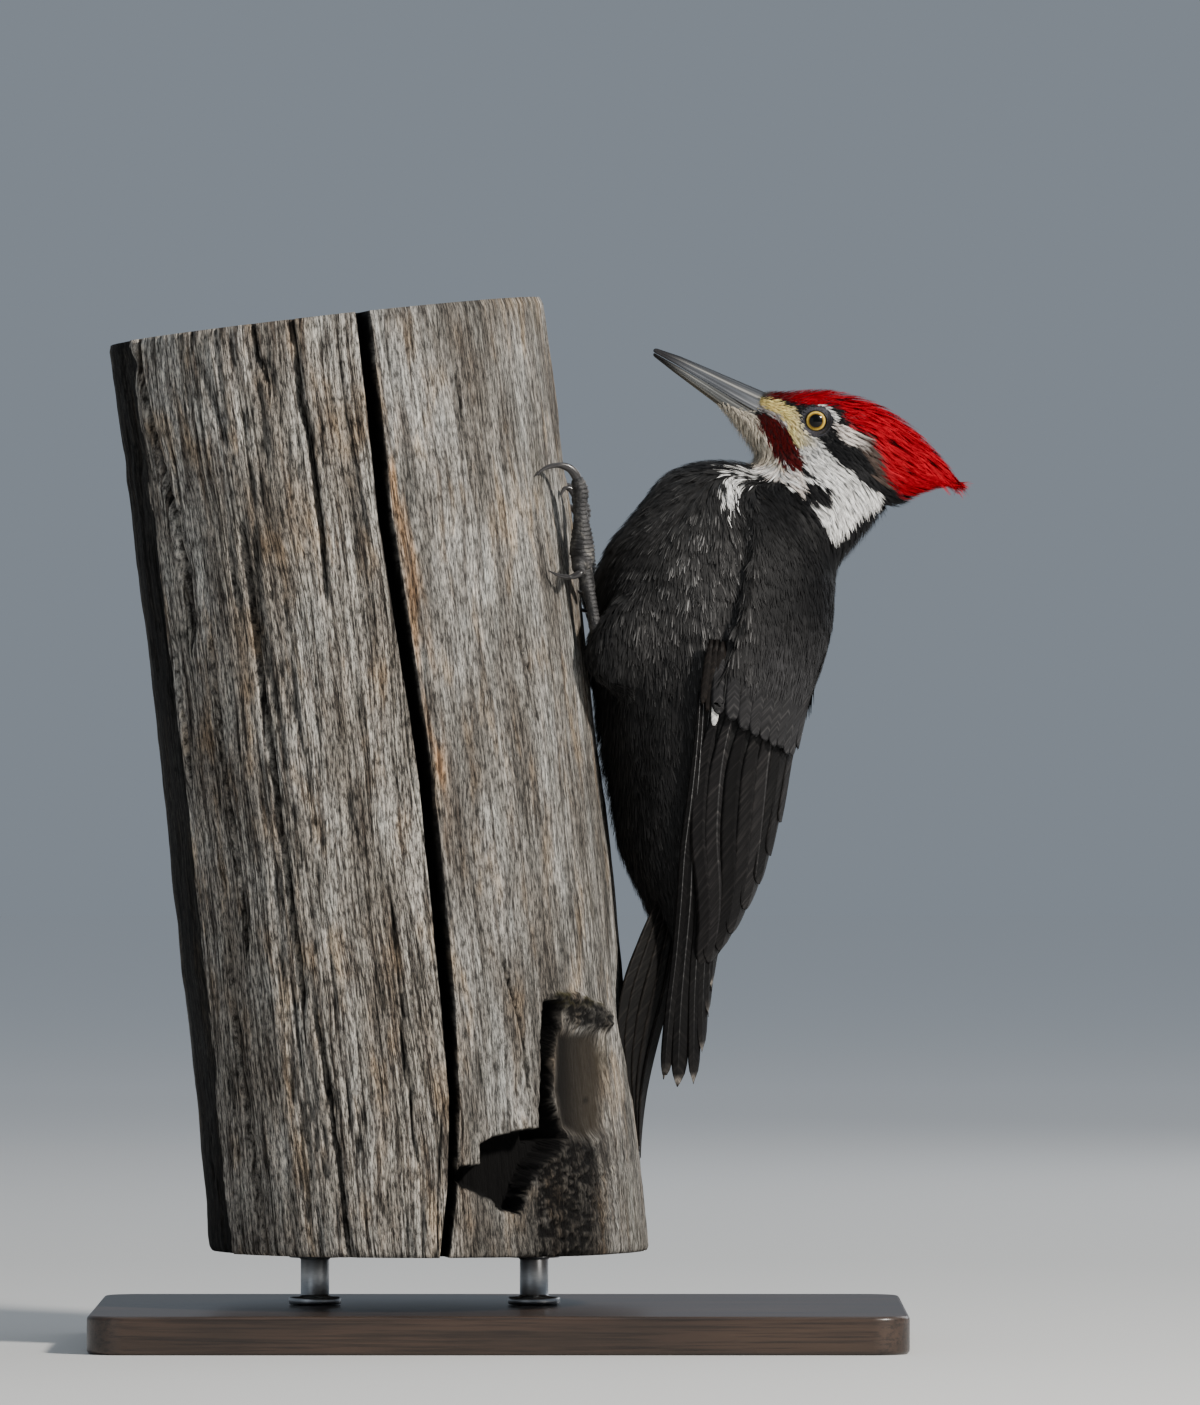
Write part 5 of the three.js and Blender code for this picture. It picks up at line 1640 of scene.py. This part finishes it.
def splineAt(knots, run):
    # a smooth curve through the rows of knots, run from 0 to 1 by length
    knots = np.array(knots, float)
    steps = np.linalg.norm(np.diff(knots[:, :3], axis=0), axis=1)
    places = np.concatenate([[0], np.cumsum(steps)]) / steps.sum()
    slopes = np.gradient(knots, places, axis=0)
    i = np.clip(np.searchsorted(places, run, side="right") - 1, 0, len(places) - 2)
    gap = (places[i + 1] - places[i])[:, None]
    t = (run[:, None] - places[i][:, None]) / gap
    a = 2 * t**3 - 3 * t**2 + 1
    b = t**3 - 2 * t**2 + t
    return a * knots[i] + (1 - a) * knots[i + 1] + b * gap * slopes[i] + (t**3 - t**2) * gap * slopes[i + 1]


bill = {
    # back, top, bottom and half width in the head's frame, in mm
    "upper": [
        (-56.6, -0.7, -2.1, 0.9),
        (-55.2, -0.2, -2.3, 1.5),
        (-45, 1.3, -2.6, 2.7),
        (-30, 2.35, -3.6, 4.2),
        (-18, 3.2, -4.6, 5.6),
        (-8, 3.9, -5.2, 6.9),
        (2, 4.4, -5.1, 7.4),
    ],
    "lower": [
        (-55.9, -2.4, -3.5, 0.9),
        (-54.6, -2.5, -4.0, 1.4),
        (-45, -2.9, -5.9, 2.5),
        (-30, -3.8, -8.5, 4.0),
        (-18, -4.8, -10.6, 5.4),
        (-8, -5.4, -12.0, 6.5),
        (2, -5.3, -12.2, 7.0),
    ],
    # the upper half's section from ridge to cutting edge: out, share of the height
    "upperShape": [(0, 1), (0.16, 0.975), (0.36, 0.84), (0.56, 0.64), (0.74, 0.50), (0.94, 0.30), (1.0, 0.10), (0.97, 0.0), (0.6, 0.06), (0, 0.10)],
    "lowerShape": [(0, 1), (0.24, 0.96), (0.52, 0.80), (0.80, 0.50), (0.96, 0.22), (1.0, 0.03), (0.9, 0.0), (0.5, 0.04), (0, 0.06)],
    "columns": 64,
    "rows": 70,
}


def billPlace(half):
    slices = np.array(bill[half])
    shape = np.array(bill[half + "Shape"])
    steps = np.concatenate([[0], np.cumsum(np.linalg.norm(np.diff(shape, axis=0), axis=1))])
    steps /= steps[-1]
    upper = half == "upper"

    def place(turn, run):
        side = np.where(turn < 0.5, 1.0, -1.0)
        share = 1 - np.abs(turn * 2 - 1)
        out = np.interp(share, steps, shape[:, 0])
        tall = np.interp(share, steps, shape[:, 1])
        back = slices[0, 0] + (slices[-1, 0] - slices[0, 0]) * run**1.25
        top, bottom, width = (np.interp(back, slices[:, 0], slices[:, k]) for k in (1, 2, 3))
        ridge, edge = (top, bottom) if upper else (bottom, top)
        middle = (ridge + edge) / 2
        close = np.sqrt(np.clip(run / 0.02, 0, 1))
        # shallow grooves run along the side of the upper half
        groove = 0.22 * np.exp(-(((share - 0.50) / 0.035) ** 2)) * smoothStep(run, 0.08, 0.5) if upper else 0
        up = middle + (edge + tall * (ridge - edge) - middle) * close
        return np.stack(
            [headPoint(0, 0)[0] + 0 * up, side * (out * width - groove * out) * close * mm, 0 * up], axis=-1
        ) * np.array([0, 1, 0]) + headSheet(back, up)

    return place


def headSheet(back, up):
    turn = math.radians(headFrame["pitch"])
    x = headFrame["x"] + back * math.cos(turn) + up * math.sin(turn)
    z = headFrame["z"] - back * math.sin(turn) + up * math.cos(turn)
    return np.stack([x, 0 * x, z], axis=-1) * mm


def makeBill():
    made, tree = newMaterial("billHorn", rough=0.40, Specular_IOR_Level=0.32)
    lie = uvCoords(tree, "lie")
    streak = stretchedNoise(tree, lie, (17, 1.1, 1), 3, 0.55)
    fine = stretchedNoise(tree, lie, (60, 3, 1), 3, 0.6)
    pale = rampOf(tree, streak, [(0.40, (0.55, 0.55, 0.55)), (0.50, (0.95, 0.95, 0.95)), (0.60, (1.55, 1.5, 1.42))])
    thin = rampOf(tree, fine, [(0.3, (0.75, 0.75, 0.75)), (0.7, (1.25, 1.25, 1.25))])
    tone = mixOf(tree, 1.0, mixOf(tree, 1.0, paintOf(tree, "tone"), pale, "MULTIPLY"), thin, "MULTIPLY")
    tree.links.new(tone, shaderOf(tree).inputs["Base Color"])
    addBump(tree, fine, 0.25, 0.0004)
    slate = np.array((0.070, 0.076, 0.087))
    ivory = np.array((0.25, 0.255, 0.25))
    edge = np.array((0.085, 0.064, 0.030))
    night = np.array((0.010, 0.009, 0.010))

    def paint(upper):
        def tone(turn, run, points):
            share = (1 - np.abs(turn * 2 - 1))[:, None]
            run = run[:, None]
            colour = np.where(upper, slate, ivory) + 0 * share
            if upper:
                # a pale band under the ridge, which is a painted highlight, a dark ridge and a dark cutting edge
                colour = colour * (0.75 + 0.25 * smoothStep(share, 0.3, 0.4))
                colour = colour + np.array((0.13, 0.125, 0.112)) * np.exp(-(((share - 0.27) / 0.05) ** 2))
                colour = colour * (1 - 0.75 * (1 - smoothStep(share, 0.0, 0.14)))
                colour = colour * (1 - 0.8 * smoothStep(share, 0.60, 0.68))
                colour = colour + 0.10 * smoothStep(run, 0.55, 0.95) * smoothStep(share, 0.35, 0.55)
            else:
                low = 1 - smoothStep(share, 0.10, 0.42)
                colour = colour * (1 - low) + edge * low
                colour = colour * (1 - 0.85 * smoothStep(share, 0.50, 0.60))
            tip = 1 - smoothStep(run, 0.12, 0.48)
            return colour * (1 - tip) + night * tip

        return tone

    for half, upper in (("upper", True), ("lower", False)):
        mesh = wrapGrid(
            f"bill{half.title()}", bill["columns"], bill["rows"], billPlace(half), paint(upper),
            lambda turn, run: np.stack([np.abs(turn * 2 - 1), run], axis=-1),
        )
        finishPiece(f"bill{half.title()}", mesh, made, [f"bill_{half}"])


look = {
    "pupil": 2.8,
    "iris": 4.05,
    "lid": 4.3,
    "brow": 6.9,
}


def eyeMaterial(name, centre):
    made, tree = newMaterial(name, rough=0.3, Specular_IOR_Level=0.05, Coat_Weight=0.42, Coat_Roughness=0.02)
    away = addNode(tree, "ShaderNodeVectorMath", operation="SUBTRACT")
    tree.links.new(objectCoords(tree), away.inputs[0])
    away.inputs[1].default_value = centre
    flat = addNode(tree, "ShaderNodeVectorMath", operation="MULTIPLY")
    join(tree, away, "Vector", flat, 0)
    flat.inputs[1].default_value = (1, 0, 1)
    reach = addNode(tree, "ShaderNodeVectorMath", operation="LENGTH")
    join(tree, flat, "Vector", reach, 0)
    scale = addNode(tree, "ShaderNodeMath", operation="MULTIPLY")
    join(tree, reach, "Value", scale, 0)
    scale.inputs[1].default_value = 1 / (8 * mm)
    pupil, iris = look["pupil"] / 8, look["iris"] / 8
    rings = rampOf(
        tree,
        scale.outputs["Value"],
        [
            (pupil - 0.012, (0.001, 0.001, 0.001)),
            (pupil + 0.012, (0.16, 0.085, 0.008)),
            (pupil + 0.06, (0.40, 0.25, 0.035)),
            (iris - 0.045, (0.82, 0.56, 0.11)),
            (iris + 0.005, (0.10, 0.06, 0.02)),
            (iris + 0.03, (0.008, 0.007, 0.008)),
        ],
    )
    fibre = stretchedNoise(tree, objectCoords(tree), (900, 900, 900), 3)
    vary = rampOf(tree, fibre, [(0.3, (0.75, 0.75, 0.75)), (0.7, (1.2, 1.2, 1.2))])
    tree.links.new(mixOf(tree, 1.0, rings, vary, "MULTIPLY"), shaderOf(tree).inputs["Base Color"])
    return made


def makeEyes(surface):
    skin, tree = newMaterial("orbitSkin", rough=0.55, Specular_IOR_Level=0.35)
    crease = stretchedNoise(tree, objectCoords(tree), (1500, 1500, 1500), 3)
    tone = rampOf(tree, crease, [(0.35, (0.012, 0.0115, 0.015)), (0.65, (0.045, 0.043, 0.053))])
    tree.links.new(mixOf(tree, 1.0, tone, paintOf(tree, "tone"), "MULTIPLY"), shaderOf(tree).inputs["Base Color"])
    addBump(tree, crease, 0.7, 0.0006)
    for side, name in ((-1, "Left"), (1, "Right")):
        centre = headPoint(eyeBall["back"], eyeBall["up"], side * eyeBall["out"])
        bm = bmesh.new()
        bmesh.ops.create_uvsphere(bm, u_segments=64, v_segments=40, radius=(eyeBall["radius"] - 0.05) * mm)
        bmesh.ops.rotate(bm, verts=bm.verts, matrix=Matrix.Rotation(math.radians(90), 3, "X"))
        bmesh.ops.translate(bm, verts=bm.verts, vec=centre)
        finishPiece(f"eye{name}", bm, eyeMaterial(f"iris{name}", centre), [f"eye_{name.lower()}"])

        def rimHeight(turn, reach):
            # how far out the head's surface is at this reach from the eye
            found = np.empty(len(turn))
            for i, (a, r) in enumerate(zip(turn * 2 * math.pi, reach)):
                start = Vector(centre) + Vector((math.cos(a) * r * mm, side * 30 * mm, math.sin(a) * r * mm))
                hit = surface.tree.ray_cast(start, Vector((0, -side, 0)))
                found[i] = abs(hit[0].y) / mm if hit[0] else eyeBall["out"]
            return found

        def place(turn, run):
            reach = look["lid"] + (look["brow"] - look["lid"]) * run
            seat = eyeBall["out"] + math.sqrt(eyeBall["radius"] ** 2 - look["lid"] ** 2)
            outer = rimHeight(turn, np.full(len(turn), look["brow"]))
            rise = seat + 0.1 + (outer - 0.5 - seat) * smoothStep(run, 0.0, 1.05)
            fold = 0.40 * np.exp(-(((run - 0.12) / 0.09) ** 2)) + 0.16 * np.exp(-(((run - 0.42) / 0.08) ** 2))
            fold = fold + 0.05 * noiseField(turn * 26, run * 7, 3)
            rise = rise + fold - 1.0 * (run < 0.001)
            a = turn * 2 * math.pi
            # the eye's corners: the lids draw out a little before and behind
            slim = 1 + 0.05 * np.cos(2 * a + 0.5) * (1 - run)
            x = centre[0] + np.cos(a) * reach * slim * mm
            z = centre[2] + np.sin(a) * reach * slim * mm
            return np.stack([x, side * rise * mm, z], axis=-1)

        def paint(turn, run, points):
            dark = 0.35 + 0.9 * smoothStep(run, 0.10, 0.30) - 0.6 * smoothStep(run, 0.62, 0.9)
            return np.tile(np.clip(dark, 0.05, 1.3)[:, None], (1, 3))

        mesh = wrapGrid(f"lids{name}", 72, 14, place, paint)
        finishPiece(f"lids{name}", mesh, skin)


legs = {
    "tarsus": [(44, 33.2, 281, 2.8), (42, 33.2, 286, 2.7), (40.6, 33.4, 297, 2.4), (38.4, 33.6, 310, 2.35), (35.6, 34.0, 323, 2.9), (34.9, 34.2, 327, 2.6)],
    "toes": {
        "hallux": [(35.4, 32, 326, 3.0), (36.8, 26.6, 320.4, 2.5), (37.6, 22.4, 316.6, 2.1), (37.4, 21.0, 315.4, 1.6)],
        "inner": [(34.6, 32, 327.4, 3.2), (33.6, 28.6, 337, 2.8), (33.2, 26, 345, 2.4), (33.4, 24.4, 351, 2.6), (32.0, 23.6, 354.4, 2.1), (31.2, 23.4, 356.0, 1.6)],
        "middle": [
            (35.4, 34.5, 323.5, 3.6), (34.5, 35.5, 332, 5.1), (34.4, 36.5, 339.5, 4.2), (34.0, 37.6, 345.7, 3.1),
            (33.6, 38.4, 350.7, 2.7), (33.9, 39.2, 357, 3.3), (32.6, 40, 361.4, 2.7), (31.6, 40.5, 363.4, 1.9),
        ],
        "outer": [(34.2, 36.5, 327.6, 3.8), (33.4, 40.6, 326.8, 3.2), (33.2, 44, 325.3, 2.8), (33.8, 46.4, 323.6, 2.2), (33.6, 47.1, 322.9, 1.6)],
    },
    "claws": {
        "hallux": [(37.6, 22.0, 316.4, 1.2), (37.2, 20.9, 315.4, 1.45), (35.8, 19.2, 314.6, 1.15), (33.8, 18.0, 315, 0.8), (32.5, 17.6, 316, 0.2)],
        "inner": [(32.2, 23.5, 354.4, 1.2), (31.4, 23.4, 355.8, 1.5), (29.6, 23.6, 358.2, 1.35), (27.4, 24.4, 358.6, 1.0), (26.1, 25.4, 356.8, 0.6), (25.7, 26.2, 354.8, 0.2)],
        "middle": [(33.0, 40.0, 361.0, 1.6), (32.2, 40.4, 363.0, 1.95), (29.6, 41.4, 366.4, 1.8), (25.2, 42.6, 367.9, 1.5), (20.4, 44.0, 367.2, 1.1), (17.0, 45.6, 365.3, 0.6), (15.2, 46.6, 363.4, 0.2)],
        "outer": [(34.6, 46.0, 323.9, 1.3), (33.8, 46.8, 323.1, 1.55), (30.4, 47.4, 321.4, 1.25), (25.4, 47.8, 321.8, 0.85), (20.4, 48.4, 324.0, 0.2)],
    },
    "drop": 7,
    "spread": 1.5,
    "lean": 0.11,
    "plate": 1.75,
}


def legKnots(path, side):
    knots = np.array(path, float)
    if side > 0:
        knots[:, 0] += legs["lean"] * legs["drop"]
        knots[:, 1] += legs["spread"]
        knots[:, 2] -= legs["drop"]
    knots[:, 1] *= side
    return knots


def tubePlace(knots, swell):
    # a tube along the knots; swell(turn, run, length) scales its radius; turn 0 faces away from the trunk
    length = np.linalg.norm(np.diff(knots[:, :3], axis=0), axis=1).sum()

    def place(turn, run):
        at = splineAt(knots, run)
        ahead = splineAt(knots, np.clip(run + 0.01, 0, 1))[:, :3] - splineAt(knots, np.clip(run - 0.01, 0, 1))[:, :3]
        ahead = unit(ahead)
        outward = np.array([1.0, 0.0, 0.05])
        up = unit(outward - (ahead @ outward)[:, None] * ahead)
        across = np.cross(ahead, up)
        a = turn[:, None] * 2 * math.pi
        end = np.minimum(run, 1 - run) * length / at[:, 3]
        round_ = np.sqrt(np.clip(1 - (1 - np.clip(end / 0.9, 0, 1)) ** 2, 0, 1))[:, None]
        radius = at[:, 3:4] * swell(turn, run, length)[:, None] * round_
        return (at[:, :3] + radius * (np.cos(a) * up + np.sin(a) * across)) * mm

    return place


def plateSwell(turn, run, length):
    # overlapping plates on the outer side, small round scales below
    face = smoothStep(np.cos(turn * 2 * math.pi), -0.15, 0.35)
    step = run * length / legs["plate"]
    saw = 1 - (step - np.floor(step))
    beads = noiseField(turn * 11, run * length / 0.55, 5, 1)
    return 1 + face * (0.18 * saw**0.7 - 0.08) + (1 - face) * 0.09 * beads


def platePaint(length):
    def paint(turn, run, points):
        face = smoothStep(np.cos(turn * 2 * math.pi), -0.2, 0.4)
        step = run * length / legs["plate"]
        saw = step - np.floor(step)
        pale = face * (0.35 + 0.65 * noiseField(turn * 3, np.floor(step) * 1.7, 9, 1) ** 2)
        pale = pale * (1 - 0.85 * smoothStep(saw, 0.72, 0.98))
        light = 0.25 + 0.75 * pale
        return np.tile(light[:, None], (1, 3))

    return paint


def makeLegs():
    scaled, tree = newMaterial("scaledSkin", rough=0.5, Specular_IOR_Level=0.45)
    grain = stretchedNoise(tree, objectCoords(tree), (1600, 1600, 1600), 3)
    broad = stretchedNoise(tree, objectCoords(tree), (330, 330, 330), 3)
    tone = rampOf(tree, broad, [(0.35, (0.022, 0.021, 0.022)), (0.55, (0.075, 0.072, 0.072)), (0.70, (0.24, 0.225, 0.20))])
    tone = mixOf(tree, 1.0, tone, paintOf(tree, "tone"), "MULTIPLY")
    tree.links.new(tone, shaderOf(tree).inputs["Base Color"])
    addBump(tree, grain, 0.6, 0.0006)
    horn, tree = newMaterial("clawHorn", rough=0.30, Specular_IOR_Level=0.5, Coat_Weight=0.2, Coat_Roughness=0.15)
    lie = uvCoords(tree, "lie")
    streak = stretchedNoise(tree, lie, (9, 1.2, 1), 3)
    tone = rampOf(tree, streak, [(0.35, (0.010, 0.009, 0.009)), (0.62, (0.045, 0.041, 0.040)), (0.75, (0.15, 0.14, 0.13))])
    tree.links.new(tone, shaderOf(tree).inputs["Base Color"])

    for side, name in ((-1, "left"), (1, "right")):
        title = name.title()
        knots = legKnots(legs["tarsus"], side)
        length = np.linalg.norm(np.diff(knots[:, :3], axis=0), axis=1).sum()
        mesh = wrapGrid(f"tarsus{title}", 40, 150, tubePlace(knots, plateSwell), platePaint(length))
        finishPiece(f"tarsus{title}", mesh, scaled, [f"tarsus_{name}"])
        toes = []
        for toe, path in legs["toes"].items():
            knots = legKnots(path, side)
            length = np.linalg.norm(np.diff(knots[:, :3], axis=0), axis=1).sum()
            toes.append(wrapGrid(toe, 40, int(length * 3.4), tubePlace(knots, plateSwell), platePaint(length)))
        finishPiece(f"foot{title}", joinMeshes("foot", toes), scaled, [f"foot_{name}"])
        for claw, path in legs["claws"].items():
            knots = legKnots(path, side)

            def keel(turn, run, length):
                # deep and narrow, with a sharp upper edge
                return 1 - 0.22 * np.abs(np.sin(turn * 2 * math.pi)) ** 1.5

            mesh = wrapGrid(
                claw, 24, 40, tubePlace(knots, keel), None, lambda turn, run: np.stack([turn, run], axis=-1)
            )
            finishPiece(f"claw{title}{claw.title()}", mesh, horn, [f"claw_{name}_{claw}"])


# ============================================================================ build
addCamera()
addLamps()
addFloor()
report("camera, lamps and floor")
makeBoard()
steel = steelMaterial()
for node in ("stand_rod_front", "stand_rod_back"):
    makeRod(node, steel)
report("stand")
makeTrunk()
report("trunk")
envelope = makeEnvelope()
report(f"envelope, {len(envelope.vertices)} points")
coat = Surface(envelope)


def makeSkin():
    normals = coat.normals
    x, y = toSide(coat.points)
    depth = guidesAt(x, y)[:, 4] * mm
    low = smoothStep(y, 650, 690) * (1 - smoothStep(y, 720, 750)) * (x > 690)
    depth = np.maximum(depth, 2.6 * mm * low)
    mesh = envelope.copy()
    setVertices(mesh, coat.points - normals * depth[:, None])
    rng = np.random.default_rng(5)
    colour = markingAt(coat.points, rng.normal(0, 0.5, (len(coat.points), 2)))
    # painted shade: the skin under the feathers takes the coat's colours at 0.6 as bright
    paintMesh(mesh, "plumage", colour * 0.6)
    made, tree = newMaterial("skin", rough=0.8)
    fleck = stretchedNoise(tree, objectCoords(tree), (900, 900, 300), 3)
    tone = rampOf(tree, fleck, [(0.3, (0.7, 0.7, 0.7)), (0.7, (1.15, 1.15, 1.15))])
    tree.links.new(mixOf(tree, 1.0, paintOf(tree, "plumage"), tone, "MULTIPLY"), shaderOf(tree).inputs["Base Color"])
    addBump(tree, fleck, 0.5, 0.0008)
    return finishPiece("bodySkin", mesh, made, flesh["nodes"])


makeSkin()
report("skin")


def spacingOf(points):
    x, y = toSide(points)
    return 0.76 * guidesAt(x, y)[:, 5] * mm


def keepRoot(points):
    # nothing grows in the eye or under the long feathers of the wing
    eye = headPoint(eyeBall["back"], eyeBall["up"], 16)
    gap = np.hypot(points[:, 0] - eye[0], points[:, 2] - eye[2])
    angle = bodyAngle(wingTable, points)
    first = np.interp(points[:, 2], wingTable[0], wingTable[4]) - 1
    last = np.interp(points[:, 2], wingTable[0], wingTable[5]) + 3
    y = sheet["y"] - points[:, 2] / sheet["unit"]
    limit = 676 + 22 * (1 - smoothStep(angle, 26, 36)) - 14 * smoothStep(angle, 66, 84)
    covered = (y > limit) & (y < 955) & (angle > first) & (angle < last)
    return (gap > 6.1 * mm) & ~covered


roots = coat.scatter(spacingOf, 7, keepRoot)
x, y = toSide(roots)
made = guidesAt(x, y)
slender = made[:, 3] / made[:, 2] < 0.36
crown = slender & inside(x, y, markings["red"])
mantle = ~slender & (x > 742)
breast = ~slender & ~mantle & (roots[:, 1] < 0)
report(f"{len(roots)} roots, {slender.sum()} of them fine")
black = plumageMaterial("blackPlumage", 0.58, 0.03)
face = plumageMaterial("facePlumage", 0.62, 0.05)
red = plumageMaterial("crestPlumage", 0.66, 0.0, 0.03)
layFeathers("coatCrest", coat, roots[crown], "hair", red, 11)
layFeathers("coatFace", coat, roots[slender & ~crown], "hair", face, 12)
layFeathers("coatMantle", coat, roots[mantle], "vane", black, 13)
layFeathers("coatNear", coat, roots[breast], "vane", black, 14)
layFeathers("coatFar", coat, roots[~slender & ~mantle & ~breast], "vane", black, 15)
report("coat")
quill = vaneMaterial("flightVane", 0.50, 0.11)
covert = vaneMaterial("covertVane", 0.58, 0.12)
for side, name in ((-1, "Left"), (1, "Right")):
    makeWing(side, name, quill, covert)
makeTail(quill)
report("wings and tail")
makeBill()
makeEyes(coat)
makeLegs()
report("bill, eyes and feet")
